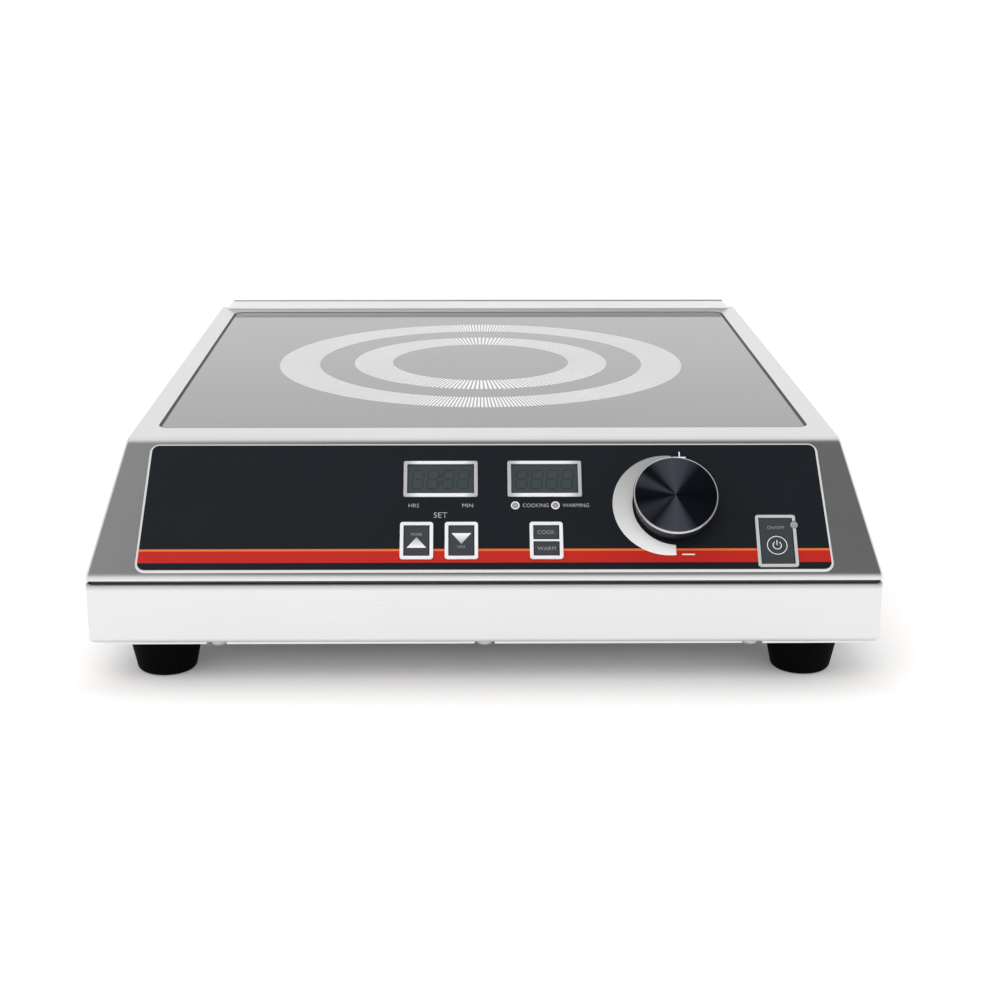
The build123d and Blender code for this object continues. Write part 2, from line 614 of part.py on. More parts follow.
# Encoder behind the steel and its nut in front
encoder_body = block(ENCODER_SIZE, ENCODER_SIZE, board_face, steel_back)
encoder_body += post(BUSHING / 2, steel_back, bushing_end)
encoder_body -= post(SHAFT / 2 + RUNNING_GAP, steel_back - 2, bushing_end + 1)
encoder_body -= post(SHAFT / 2 + 1.2 + KEY_GAP, board_face + 1.2, steel_back - 1.2)
encoder_body = KNOB_AXIS * encoder_body
encoder_nut = post(BUSHING / 2 + 3.0, overlay_face, overlay_face + 0.5)
encoder_nut += Pos(0, 0, overlay_face + 0.5) * hex_nut(BUSHING + 3.0, 1.6, BUSHING / 2)
encoder_nut -= post(BUSHING / 2, overlay_face - 1, bushing_end + 1)
encoder_nut = KNOB_AXIS * encoder_nut

# Control board on spacers behind the steel
control_left = timer_u - DISPLAY_WIDTH / 2 - CONTROL_MARGIN
control_right = power_u + CONTROL_MARGIN
control_high = PANEL_LENGTH - CONTROL_DROP
control_width = control_right - control_left
control_height = control_high - CONTROL_LOW
control_u = (control_left + control_right) / 2
control_v = (CONTROL_LOW + control_high) / 2
spacer_places = [(control_left + 4, CONTROL_LOW + 4), (control_left + 4, control_high - 4)]
spacer_places += [((knob_u + power_u) / 2 + 4, CONTROL_LOW + 4), (control_right - 4, control_high - 4)]
control_board = slab(control_width, control_height, 2.0, board_back, board_face, control_u, control_v)
for u, v in spacer_places:
    control_board -= post(small_hole, board_back - 1, board_face + 1, u, v)
control_board = PANEL * control_board
spacer = post(3.0, board_face, steel_back) - post(SMALL_SCREW / 2, board_face, steel_back - 1.5)
control_spacers = [PANEL * Pos(u, v, 0) * spacer for u, v in spacer_places]
control_screw = post(2.75, board_back - 2.0, board_back) + post(SMALL_SCREW / 2, board_back, board_face + 4)
control_screws = [PANEL * Pos(u, v, 0) * control_screw for u, v in spacer_places]
buzzer = post(6.0, board_back - 8.0, board_back) - post(1.0, board_back - 9.0, board_back - 6.0)
buzzer = PANEL * Pos((heat_u + knob_u) / 2, display_v, 0) * buzzer

# Coil stack under the glass
coil_top = glass_low_z - COIL_GAP
coil_low = coil_top - COIL_HEIGHT
former_low = coil_low - FORMER
coil_sketch = Sketch()
for half_turn in range(2 * COIL_TURNS):
    upper = half_turn % 2 == 0
    ring_radius = COIL_INNER + COIL_STRAND / 2 + half_turn * COIL_PITCH / 2
    ring_x = 0.0 if upper else COIL_PITCH / 2
    ring = Circle(ring_radius + COIL_STRAND / 2) - Circle(ring_radius - COIL_STRAND / 2)
    reach = 2 * coil_outer
    half_plane = Pos(0, reach / 2 if upper else -reach / 2) * Rectangle(2 * reach, reach)
    coil_sketch += Pos(ring_x, 0) * ring & half_plane
induction_coil = Pos(-COIL_PITCH / 4, glass_y, coil_low) * extrude(coil_sketch, COIL_HEIGHT)

former_radius = coil_outer + 2.0
coil_former = post(former_radius, former_low, coil_low)
for angle in (90, 210, 330):
    coil_former += Rot(0, 0, angle) * block(post_radius, 2 * POST - 4, former_low, coil_low, post_radius / 2)
    coil_former += Rot(0, 0, angle) * post(POST - 2, former_low, coil_low, post_radius)
    coil_former -= Rot(0, 0, angle) * post(screw_hole, former_low, coil_low, post_radius)
sensor_low = coil_top + 1.0
coil_former += post(SENSOR_CAP / 2 + 2.0, coil_low, sensor_low)
coil_former -= post(SENSOR_CAP / 2 - 2.0, former_low, sensor_low)
for angle in range(0, 360, 60):
    web = slab(FERRITE_LENGTH * 0.7, FERRITE_WIDTH + 8, 3.0, former_low, coil_low, coil_outer * 0.62)
    coil_former -= Rot(0, 0, angle + 30) * web
coil_former = Pos(0, glass_y, 0) * coil_former

ferrite_x = COIL_INNER + FERRITE_LENGTH / 2 + 4.0
ferrite = block(FERRITE_LENGTH, FERRITE_WIDTH, former_low - FERRITE_HEIGHT, former_low, ferrite_x)
ferrite_bars = [Pos(0, glass_y, 0) * Rot(0, 0, angle) * ferrite for angle in range(0, 360, 60)]
insulation_sheet = post(former_radius, coil_top, coil_top + SHEET_MICA, 0, glass_y)
insulation_sheet -= post(COIL_INNER - 2.0, coil_top, coil_top + SHEET_MICA, 0, glass_y)
sensor_cap = post(SENSOR_CAP / 2, sensor_low, glass_low_z, 0, glass_y)
sensor_cap = fillet(sensor_cap.edges().sort_by(Axis.Z)[-1], 0.8)
coil_post = post(POST / 2, tray_floor, former_low) - post(SCREW / 2, tray_floor, tray_floor + 10)
coil_post -= post(SCREW / 2, former_low - 10, former_low)
coil_posts = [Pos(x, y, 0) * coil_post for x, y in post_places]
low_screw = Pos(0, 0, FOOT_HEIGHT) * pan_screw(TRAY_SHEET + 8)
high_screw = Pos(0, 0, coil_low) * Rot(180, 0, 0) * pan_screw(FORMER + 8)
coil_screws = [Pos(x, y, 0) * low_screw for x, y in post_places]
coil_screws += [Pos(x, y, 0) * high_screw for x, y in post_places]

# Cooling fan on the tray floor
fan_top = tray_floor + FAN_HEIGHT
bore_radius = FAN_SIZE / 2 - FAN_WALL
blade_tip = bore_radius - FAN_TIP_GAP
fan_frame = slab(FAN_SIZE, FAN_SIZE, 6.0, tray_floor, fan_top) - post(bore_radius, tray_floor, fan_top)
strut_top = tray_floor + 3.0
for angle in (45, 135, 225, 315):
    strut = block(bore_radius + 2, 5.0, tray_floor, strut_top, bore_radius / 2 + 1)
    fan_frame += Rot(0, 0, angle) * strut
fan_frame += post(FAN_HUB / 2, tray_floor, strut_top)
bearing_top = tray_floor + FAN_HEIGHT * 0.65
fan_frame += post(4.0, tray_floor, bearing_top)
fan_frame -= post(FAN_PIN / 2 + RUNNING_GAP, tray_floor + 1.0, bearing_top)
for x in (-fan_corner, fan_corner):
    for y in (-fan_corner, fan_corner):
        fan_frame -= post(screw_hole, tray_floor, fan_top, x, y)
stator_low = strut_top + 1.0
rotor_low = strut_top + 0.6
rotor_top = fan_top - 1.0
fan_stator = post(FAN_HUB / 2 - 4.0, strut_top, bearing_top - 2.0) - post(4.0, strut_top, bearing_top)
for angle in range(0, 360, 90):
    groove = block(8.0, 3.0, stator_low, bearing_top, FAN_HUB / 2 - 4.0)
    fan_stator -= Rot(0, 0, angle + 45) * groove
fan_rotor = post(FAN_HUB / 2, rotor_low, rotor_top)
fan_rotor = fillet(fan_rotor.edges().sort_by(Axis.Z)[-1], 1.5)
fan_rotor -= post(FAN_HUB / 2 - 2.0, rotor_low, rotor_top - 2.0)
fan_rotor += post(FAN_PIN / 2, tray_floor + 1.4, rotor_top - 1.0)
blade_ring = post(blade_tip, rotor_low, rotor_top) - post(FAN_HUB / 2 - 1.0, rotor_low, rotor_top)
blade_middle = (rotor_low + rotor_top) / 2
for blade_index in range(FAN_BLADES):
    plate = Box(2 * FAN_SIZE, 2 * FAN_SIZE, 1.8)
    plate = Rot(FAN_PITCH, 0, 0) * (plate & Box(FAN_SIZE, 26.0, 4.0))
    blade = Pos(FAN_SIZE / 2, 0, blade_middle) * plate & blade_ring
    fan_rotor += Rot(0, 0, blade_index * 360 / FAN_BLADES) * blade
FAN = Pos(fan_x, fan_y, 0)
fan_frame = FAN * fan_frame
fan_stator = FAN * fan_stator
fan_rotor = FAN * fan_rotor
fan_screw = Pos(0, 0, FOOT_HEIGHT) * pan_screw(TRAY_SHEET + FAN_HEIGHT - 2)
fan_screws = [Pos(x, y, 0) * fan_screw for x, y in fan_places]

# Power board on snap-in supports, against the terminal block and the right-hand flange
terminal_y = flange_end - PART_GAP - TERMINAL_DEPTH / 2
board_rear = terminal_y - TERMINAL_DEPTH / 2 - PART_GAP
board_front = board_rear - POWER_BOARD_DEPTH
board_right = flange_half - POWER_BOARD_SIDE_GAP
board_left = board_right - POWER_BOARD_WIDTH
board_x = (board_left + board_right) / 2
board_y = (board_front + board_rear) / 2
power_low = tray_floor + SUPPORT_HEIGHT
power_top = power_low + BOARD
power_board = slab(POWER_BOARD_WIDTH, POWER_BOARD_DEPTH, 2.0, power_low, power_top, board_x, board_y)
board_supports = []
for x in (board_left + POWER_BOARD_EDGE, board_right - POWER_BOARD_EDGE):
    for y in (board_front + POWER_BOARD_EDGE, board_rear - POWER_BOARD_EDGE):
        power_board -= post(1.8, power_low, power_top, x, y)
        support = post(4.0, tray_floor, power_low, x, y) + post(1.7, power_low, power_top, x, y)
        support += post(2.4, power_top, power_top + 1.2, x, y)
        board_supports.append(support)

# Finned heat sink with the power devices on its side
parts_rear = board_rear - POWER_BOARD_EDGE - PART_GAP - 2.4
sink_x = board_left + PART_GAP + SINK_WIDTH / 2
sink_y = parts_rear - SINK_LENGTH / 2
sink_top = power_top + SINK_HEIGHT
heat_sink = block(SINK_BASE, SINK_LENGTH, power_top, sink_top, (SINK_WIDTH - SINK_BASE) / 2)
for fin in range(SINK_FINS):
    fin_z = power_top + (SINK_HEIGHT - SINK_FIN) * fin / (SINK_FINS - 1)
    heat_sink += block(SINK_WIDTH, SINK_LENGTH, fin_z, fin_z + SINK_FIN)
heat_sink = Pos(sink_x, sink_y, 0) * heat_sink
device_x = sink_x + SINK_WIDTH / 2
power_transistors = []
for device_step in (-1, 0, 1):
    device_y = sink_y + device_step * SINK_LENGTH * 0.3
    device = block(5.0, 16.0, power_top + 6.0, power_top + 27.0, device_x + 2.5, device_y)
    for leg in (-5.4, 0.0, 5.4):
        device += block(0.8, 1.4, power_top, power_top + 7.0, device_x + 2.5, device_y + leg)
    power_transistors.append(device)

# Capacitors and the filter choke in one row down the board
row_x = board_right - PART_GAP - CHOKE / 2
big_y = parts_rear - BIG_CAPACITOR / 2
small_y = big_y - (BIG_CAPACITOR + SMALL_CAPACITOR) / 2 - PART_GAP
choke_y = small_y - SMALL_CAPACITOR / 2 - PART_GAP - CHOKE / 2
capacitor_top = power_top + CAPACITOR_HEIGHT
film_capacitors = [
    slab(CAPACITOR_WIDTH, BIG_CAPACITOR, 2.0, power_top, capacitor_top, row_x, big_y),
    slab(CAPACITOR_WIDTH, SMALL_CAPACITOR, 2.0, power_top, capacitor_top, row_x, small_y),
]
ring_width = CHOKE * 0.26
ring_x = CHOKE / 2 - 1.0 - ring_width / 2
core = Pos(ring_x, power_top + 9.0) * RectangleRounded(ring_width, 16.0, 3.5)
filter_choke = revolve(Plane.XZ * core, Axis.Z)
choke_seat = post(ring_x + 2.0, power_top, power_top + 2.0)
filter_choke += choke_seat - post(ring_x - 2.0, power_top, power_top + 2.0)
turn = RectangleRounded(ring_width + 2.0, 17.0, 4.2) - RectangleRounded(ring_width - 1.0, 14.0, 3.0)
wrap = extrude(Plane.XZ * Pos(ring_x, power_top + 9.5) * turn, 1.2, both=True)
for angle in range(0, 360, 30):
    filter_choke += Rot(0, 0, angle) * wrap
filter_choke = Pos(row_x, choke_y, 0) * filter_choke

# Mains terminal block by the cord inlet
terminal_top = tray_floor + TERMINAL_HEIGHT
terminal_block = block(TERMINAL_WIDTH, TERMINAL_DEPTH, tray_floor, terminal_top, inlet_x, terminal_y)
for pole in (-1, 0, 1):
    pole_x = inlet_x + pole * TERMINAL_WIDTH * 0.3
    terminal_block -= post(2.6, tray_floor + 9.0, terminal_top, pole_x, terminal_y)
    hole = Pos(pole_x, terminal_y, tray_floor + 5.0) * Rot(90, 0, 0) * Cylinder(2.0, 2 * TERMINAL_DEPTH)
    terminal_block -= hole

# Flat cable between the two boards, with a plug at each end
cable_x = board_right - POWER_BOARD_EDGE - 4.0 - PART_GAP - CABLE_WIDTH / 2
plug_v = CONTROL_LOW + 22.0
plug_end = PANEL.from_local_coords((cable_x, plug_v, board_back - 6.0))
cable_turn = PANEL.from_local_coords((cable_x, plug_v, board_back - 22.0))
socket_front = board_front + 2.0
socket_z = power_top + 4.0
cable_points = [(plug_end.Y, plug_end.Z), (cable_turn.Y, cable_turn.Z)]
cable_points += [(socket_front - 30.0, socket_z), (socket_front, socket_z)]
cable_strip = Plane.YZ * trace(FilletPolyline(*cable_points, radius=8.0), 1.2)
ribbon_cable = Pos(cable_x - CABLE_WIDTH / 2, 0, 0) * extrude(cable_strip, CABLE_WIDTH)
ribbon_cable += PANEL * block(CABLE_WIDTH + 2.0, 6.0, board_back - 6.5, board_back, cable_x, plug_v)
ribbon_cable += block(CABLE_WIDTH + 2.0, 8.0, power_top, power_top + 8.0, cable_x, socket_front + 3.5)

nodes = {
    "base_tray": base_tray,
    "top_shell": top_shell,
    "glass_top": glass_top,
    "glass_seal": glass_seal,
    "control_overlay": control_overlay,
    "timer_bezel": timer_bezel,
    "heat_bezel": heat_bezel,
    "timer_lcd": timer_lcd,
    "heat_lcd": heat_lcd,
    "lcd_holders": lcd_holders,
    "up_key_bezel": up_key_bezel,
    "down_key_bezel": down_key_bezel,
    "mode_key_bezel": mode_key_bezel,
    "power_key_bezel": power_key_bezel,
    "up_key": up_key,
    "down_key": down_key,
    "heat_key": heat_key,
    "hold_key": hold_key,
    "power_key": power_key,
    "key_switches": key_switches,
    "mode_lamps": mode_lamps,
    "power_lamp": power_lamp,
    "knob_cap": knob_cap,
    "knob_hub": knob_hub,
    "encoder_shaft": encoder_shaft,
    "encoder_body": encoder_body,
    "encoder_nut": encoder_nut,
    "control_board": control_board,
    "control_spacers": control_spacers,
    "control_screws": control_screws,
    "buzzer": buzzer,
    "ribbon_cable": ribbon_cable,
    "coil_former": coil_former,
    "induction_coil": induction_coil,
    "ferrite_bars": ferrite_bars,
    "insulation_sheet": insulation_sheet,
    "sensor_cap": sensor_cap,
    "coil_posts": coil_posts,
    "coil_screws": coil_screws,
    "fan_frame": fan_frame,
    "fan_stator": fan_stator,
    "fan_rotor": fan_rotor,
    "fan_screws": fan_screws,
    "power_board": power_board,
    "board_supports": board_supports,
    "heat_sink": heat_sink,
    "power_transistors": power_transistors,
    "film_capacitors": film_capacitors,
    "filter_choke": filter_choke,
    "terminal_block": terminal_block,
    "cord_grommet": cord_grommet,
    "foot_front_left": feet[0],
    "foot_front_right": feet[1],
    "foot_rear_left": feet[2],
    "foot_rear_right": feet[3],
    "foot_screws": foot_screws,
    "base_screws": base_screws,
    "hex_nuts": hex_nuts,
}

os.makedirs("parts", exist_ok=True)
for name, shape in nodes.items():
    if isinstance(shape, list):
        shape = Compound(children=shape)
    export_step(shape, f"parts/{name}.step")
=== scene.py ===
import json
import math

import bpy
from bpy.props import FloatProperty, FloatVectorProperty, IntProperty, PointerProperty
from mathutils import Matrix, Vector

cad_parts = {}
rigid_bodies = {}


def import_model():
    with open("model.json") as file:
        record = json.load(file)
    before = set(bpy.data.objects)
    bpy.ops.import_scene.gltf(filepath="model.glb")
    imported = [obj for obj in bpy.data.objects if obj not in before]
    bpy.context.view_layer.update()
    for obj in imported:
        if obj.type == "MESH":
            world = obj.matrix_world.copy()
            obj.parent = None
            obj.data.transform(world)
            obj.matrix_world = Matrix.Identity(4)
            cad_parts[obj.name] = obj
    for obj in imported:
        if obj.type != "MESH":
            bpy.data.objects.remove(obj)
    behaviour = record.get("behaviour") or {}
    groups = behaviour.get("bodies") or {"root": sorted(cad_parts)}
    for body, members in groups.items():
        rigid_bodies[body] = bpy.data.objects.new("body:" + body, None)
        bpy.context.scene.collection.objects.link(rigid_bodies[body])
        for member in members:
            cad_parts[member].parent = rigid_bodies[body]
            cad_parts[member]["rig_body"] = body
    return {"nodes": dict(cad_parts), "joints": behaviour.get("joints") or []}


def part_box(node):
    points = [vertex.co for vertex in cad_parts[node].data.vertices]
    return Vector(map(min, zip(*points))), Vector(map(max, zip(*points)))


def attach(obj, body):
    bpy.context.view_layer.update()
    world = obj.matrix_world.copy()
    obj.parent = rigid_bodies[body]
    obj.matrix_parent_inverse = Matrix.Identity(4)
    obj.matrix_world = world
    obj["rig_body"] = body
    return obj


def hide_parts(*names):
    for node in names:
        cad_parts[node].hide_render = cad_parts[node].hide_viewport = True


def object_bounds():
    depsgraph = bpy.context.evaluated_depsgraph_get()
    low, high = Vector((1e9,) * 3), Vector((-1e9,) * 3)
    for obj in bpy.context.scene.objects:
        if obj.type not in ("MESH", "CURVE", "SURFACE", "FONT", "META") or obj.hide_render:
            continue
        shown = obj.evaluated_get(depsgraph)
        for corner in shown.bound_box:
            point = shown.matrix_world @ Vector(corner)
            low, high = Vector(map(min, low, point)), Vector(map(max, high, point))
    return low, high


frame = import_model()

bl_info = {
    "name": "Countertop Induction Cooker",
    "version": (1, 0, 0),
    "blender": (4, 5, 0),
    "location": "View3D > Sidebar > Cooker",
    "description": "Finishes, prints and a studio stage for a countertop induction cooker",
    "category": "Object",
}

CAD_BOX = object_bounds()
MM = 0.001
CHASSIS = "chassis"
FILM = "control_overlay"
KEY_FRAMES = ("up_key_bezel", "down_key_bezel", "mode_key_bezel", "power_key_bezel")


def span(points):
    """The lowest and the highest corner of the box round some points."""
    low = Vector(min(point[axis] for point in points) for axis in range(3))
    high = Vector(max(point[axis] for point in points) for axis in range(3))
    return low, high


def mesh_points(piece):
    return [vertex.co for vertex in piece.data.vertices]


def node_points(node):
    return mesh_points(frame["nodes"][node])


# The sloping control panel: u runs to the right, v up the slope and n out of it.
def panel_place():
    """The panel's place: square to the keys' travel, with its start on the film's lower edge."""
    press = next(joint for joint in frame["joints"] if joint["name"] == "up_press")
    out = -Vector(press["axis"]).normalized()
    right = Vector((1, 0, 0))
    up = out.cross(right)
    place = Matrix((right, up, out)).transposed().to_4x4()
    low = min(node_points(FILM), key=lambda point: point.z)
    place.translation = (0, low.y, low.z)
    return place


PANEL = panel_place()


def panel_points(node):
    """A node's vertices in the panel's own u, v and n."""
    back = PANEL.inverted()
    return [back @ point for point in node_points(node)]


def panel_box(node):
    """The lowest and the highest u, v and n of a node on the panel."""
    return span(panel_points(node))


def panel_centre(node):
    low, high = panel_box(node)
    return (low + high) / 2


def on_face(node, u, v):
    """A place on the panel at u and v, raised to the outer face of a node."""
    return PANEL @ Matrix.Translation((u, v, panel_box(node)[1].z))


def on_glass():
    """The middle of the glass plate's upper face."""
    low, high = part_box("glass_top")
    return Matrix.Translation(((low.x + high.x) / 2, (low.y + high.y) / 2, high.z))


def colour_property(name, description, default):
    return FloatVectorProperty(
        name=name, description=description, subtype="COLOR", size=3, min=0, max=1, default=default
    )


def length_property(name, description, millimetres):
    return FloatProperty(
        name=name, description=description, unit="LENGTH", min=0, default=millimetres * MM
    )


def number_property(name, description, default, unit="NONE"):
    return FloatProperty(name=name, description=description, unit=unit, default=default)


class CookerFinishes(bpy.types.PropertyGroup):
    """Colours of the cooker's surfaces."""

    steel: colour_property("Steel", "Brushed steel of the shell and the tray", (0.742, 0.744, 0.749))
    # The bead's colour is lighter than the steel's: a painted highlight.
    bead: colour_property("Bead", "Polished bead along the rear of the deck", (0.92, 0.92, 0.925))
    glass: colour_property("Glass", "Dark ceramic glass plate", (0.030, 0.029, 0.031))
    seal: colour_property("Seal", "Silicone seal round the glass", (0.02, 0.02, 0.02))
    film: colour_property("Film", "Ground of the printed control film", (0.0068, 0.0092, 0.0124))
    frames: colour_property("Frames", "Silver frames of the displays and keys", (0.92, 0.92, 0.93))
    display: colour_property("Display", "Unlit display glass", (0.052, 0.068, 0.069))
    digits: colour_property("Digits", "Unlit digits on the displays", (0.038, 0.050, 0.051))
    keys: colour_property("Keys", "Grey key caps", (0.035, 0.039, 0.046))
    lens: colour_property("Lens", "Unlit lamp lenses", (0.32, 0.33, 0.34))
    # The knob's dark tone, and the light tone of the painted reflection fans on its spun face
    knob: colour_property("Knob", "Dark fans of the knob's spun face, and its skirt", (0.014, 0.018, 0.027))
    knob_painted_fans: colour_property("Knob fans", "Light fans of the knob's spun face", (0.25, 0.27, 0.34))
    knob_edge: colour_property("Knob edge", "Bright cut edge of the knob", (0.86, 0.86, 0.87))
    white_ink: colour_property("White ink", "White marks on the film", (0.88, 0.88, 0.88))
    ring_ink: colour_property("Ring ink", "Marks of the cooking zone on the glass", (0.79, 0.79, 0.79))
    red_ink: colour_property("Red ink", "Broad band along the film", (0.485, 0.016, 0.010))
    orange_ink: colour_property("Orange ink", "Thin line above the red band", (0.74, 0.15, 0.035))
    rubber: colour_property("Rubber", "Feet and inlet grommet", (0.0022, 0.0022, 0.0024))
    zinc: colour_property("Zinc", "Plating of the screws and nuts", (0.62, 0.61, 0.58))


class CookerPrints(bpy.types.PropertyGroup):
    """Sizes of the prints on the film and on the glass."""

    thickness: length_property("Print thickness", "How far a print stands up from its ground", 0.04)
    band_low: length_property("Band foot", "Lower edge of the red band, above the film's edge", 2.87)
    band_high: length_property("Band top", "Upper edge of the red band, above the film's edge", 8.07)
    line_width: length_property("Line width", "Width of the orange line", 1.0)
    frame_corner: length_property("Frame corner", "Corner radius of the key frames", 1.2)
    outer_ring_inside: length_property("Outer ring, inside", "Inner radius of the outer ring", 81.3)
    outer_ring_outside: length_property("Outer ring, outside", "Outer radius of the outer ring", 101.5)
    inner_ring_inside: length_property("Inner ring, inside", "Inner radius of the inner ring", 44.4)
    inner_ring_outside: length_property("Inner ring, outside", "Outer radius of the inner ring", 63.8)
    outer_ticks: IntProperty(name="Outer ticks", description="Marks in the outer ring", default=360)
    inner_ticks: IntProperty(name="Inner ticks", description="Marks in the inner ring", default=180)
    tick_share: FloatProperty(
        name="Tick share", description="Share of the ring that is inked", default=0.58, min=0, max=1
    )
    digit_height: length_property("Digit height", "Height of the displays' digits", 8.6)
    label_height: length_property("Label height", "Height of the small labels", 1.7)
    scale_inside: length_property("Scale, inside", "Inner radius of the heat scale", 18.4)
    scale_outside: length_property("Scale, outside", "Outer radius of the heat scale", 23.0)
    scale_shift: length_property("Scale shift", "How far its outer edge is off centre, to the left", 2.4)
    scale_hollow: length_property("Scale hollow", "How far its inner edge is off centre, to the right", 1.2)


class CookerStage(bpy.types.PropertyGroup):
    """The camera and the light of the studio."""

    camera: FloatVectorProperty(
        name="Camera", description="Camera place from the middle of the glass",
        subtype="XYZ", unit="LENGTH", default=(-0.00803, -0.91063, 0.18931),
    )
    pitch: number_property("Pitch", "Camera tilt below level", math.radians(16.08), "ROTATION")
    yaw: number_property("Yaw", "Camera turn to the right", math.radians(0.36), "ROTATION")
    lens: number_property("Lens", "Focal length in millimetres", 65.66)
    shift: number_property("Shift", "Sideways lens shift", 0.024)
    dome: number_property("Dome", "White of the studio's light dome", 1.0)
    floor_near: number_property("Near floor", "White added to the floor at the feet", 0.03)
    floor_open: number_property("Open floor", "White added to the floor round the part", 0.40)
    floor_far: number_property("Far floor", "White added once more far away", 0.25)
    floor_shade: length_property("Floor shade", "How far under the part the floor stays dark", 55)
    floor_fade: length_property("Floor fade", "How far off the part's sides the floor turns white", 34)


def settings(context):
    return context.scene.cooker_finishes, context.scene.cooker_prints


def pick(*pieces):
    """Leaves only these pieces selected, with the first one active."""
    bpy.ops.object.select_all(action="DESELECT")
    for piece in pieces:
        piece.select_set(True)
    bpy.context.view_layer.objects.active = pieces[0]


def begin(name, add, **sizes):
    """Adds a primitive with nothing else selected, and names it."""
    bpy.ops.object.select_all(action="DESELECT")
    add(**sizes)
    piece = bpy.context.object
    piece.name = name
    return piece


def edit_all(piece):
    """Opens a piece in edit mode with all of it selected."""
    pick(piece)
    bpy.ops.object.mode_set(mode="EDIT")
    bpy.ops.mesh.select_all(action="SELECT")


def close_edit():
    bpy.ops.object.mode_set(mode="OBJECT")


def close_mesh(piece, threshold=1e-7):
    """Merges doubles and turns the faces outwards."""
    edit_all(piece)
    bpy.ops.mesh.remove_doubles(threshold=threshold)
    bpy.ops.mesh.normals_make_consistent(inside=False)
    close_edit()


def face_up(piece):
    """Turns a flat shape's faces upwards."""
    if piece.data.polygons[0].normal.z < 0:
        piece.data.flip_normals()


def thicken(piece, thickness):
    """Gives a flat shape its thickness, upwards."""
    pick(piece)
    bpy.ops.object.modifier_add(type="SOLIDIFY")
    solidify = piece.modifiers[-1]
    solidify.thickness = thickness
    solidify.offset = 1
    bpy.ops.object.modifier_apply(modifier=solidify.name)
    close_mesh(piece)


def put(piece, place):
    """Moves a piece modelled at the origin to its place, in its mesh."""
    pick(piece)
    piece.matrix_world = place
    bpy.ops.object.transform_apply(location=True, rotation=True, scale=True)


def finish_with(piece, *materials):
    """Gives a new piece its own finishes."""
    piece.data.materials.clear()
    for material in materials:
        piece.data.materials.append(material)


def hand_over(piece, body, material):
    """Gives a new piece in its place a finish and the body it moves with."""
    finish_with(piece, material)
    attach(piece, body)


def lay(piece, thickness, node, u, v, ink):
    """Prints a flat shape on the outer face of a node, to move with that node.

    The ink is a finish, or a name and the two colours that it shades between from the foot up.
    """
    thicken(piece, thickness)
    put(piece, on_face(node, u, v))
    if isinstance(ink, tuple):
        low, high = span(mesh_points(piece))
        ink = shaded_ink(*ink, low.z, high.z)
    hand_over(piece, frame["nodes"][node]["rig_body"], ink)


def dress(material, *nodes):
    """Puts a finish on CAD nodes as they are."""
    for node in nodes:
        for place in frame["nodes"][node].material_slots:
            place.material = material


def drawn_shape(name, lines, closed):
    """A mesh from lines of (x, y, z) points, filled where they are closed."""
    curve = bpy.data.curves.new(name, "CURVE")
    curve.dimensions = "2D" if closed else "3D"
    if closed:
        curve.fill_mode = "FRONT"
    for line in lines:
        spline = curve.splines.new("POLY")
        spline.points.add(len(line) - 1)
        for point, place in zip(spline.points, line):
            point.co = (*place, 1)
        spline.use_cyclic_u = closed
    piece = bpy.data.objects.new(name, curve)
    bpy.context.collection.objects.link(piece)
    pick(piece)
    bpy.ops.object.convert(target="MESH")
    return bpy.context.object


def flat_shape(name, outlines):
    """A flat mesh from closed outlines, where an outline inside another cuts a hole."""
    return drawn_shape(name, [[(u, v, 0) for u, v in outline] for outline in outlines], True)


def spun_shape(name, profile, steps):
    """A body turned about Z from a profile of (radius, height) points, both ends on the axis."""
    piece = drawn_shape(name, [[(radius, 0, height) for radius, height in profile]], False)
    edit_all(piece)
    bpy.ops.mesh.spin(steps=steps, angle=math.tau, center=(0, 0, 0), axis=(0, 0, 1))
    close_edit()
    close_mesh(piece, threshold=1e-6)
    return piece


def ring_shape(name, inside, outside, sides=64):
    """A flat ring about the origin."""
    piece = begin(
        name, bpy.ops.mesh.primitive_circle_add, vertices=sides, radius=outside, fill_type="NOTHING"
    )
    edit_all(piece)
    bpy.ops.mesh.extrude_region()
    share = inside / outside
    bpy.ops.transform.resize(value=(share, share, 1))
    bpy.ops.mesh.select_all(action="SELECT")
    bpy.ops.mesh.normals_make_consistent(inside=False)
    close_edit()
    face_up(piece)
    return piece


def arc(centre, radius, start, end, steps=24):
    """Points on an arc, with the angles in degrees from the right."""
    turns = [math.radians(start + (end - start) * step / steps) for step in range(steps + 1)]
    return [(centre[0] + radius * math.cos(turn), centre[1] + radius * math.sin(turn)) for turn in turns]


def box_outline(low_u, low_v, high_u, high_v):
    return [(low_u, low_v), (high_u, low_v), (high_u, high_v), (low_u, high_v)]


def lettering(name, words, height, narrow=1.0):
    """Flat words of a given height, about their middle."""
    piece = begin(name, bpy.ops.object.text_add)
    piece.data.body = words
    piece.data.resolution_u = 3
    piece.data.offset = -0.008
    bpy.ops.object.convert(target="MESH")
    piece = bpy.context.object
    low, high = span(mesh_points(piece))
    size = height / (high.y - low.y)
    middle = (low + high) / 2
    put(piece, Matrix.Diagonal((size * narrow, size, size, 1)) @ Matrix.Translation(-middle))
    return piece


# Where a Mix node keeps its two inputs and its output, for each kind of value
MIX_SOCKETS = {"FLOAT": (2, 3, 0), "RGBA": (6, 7, 2)}


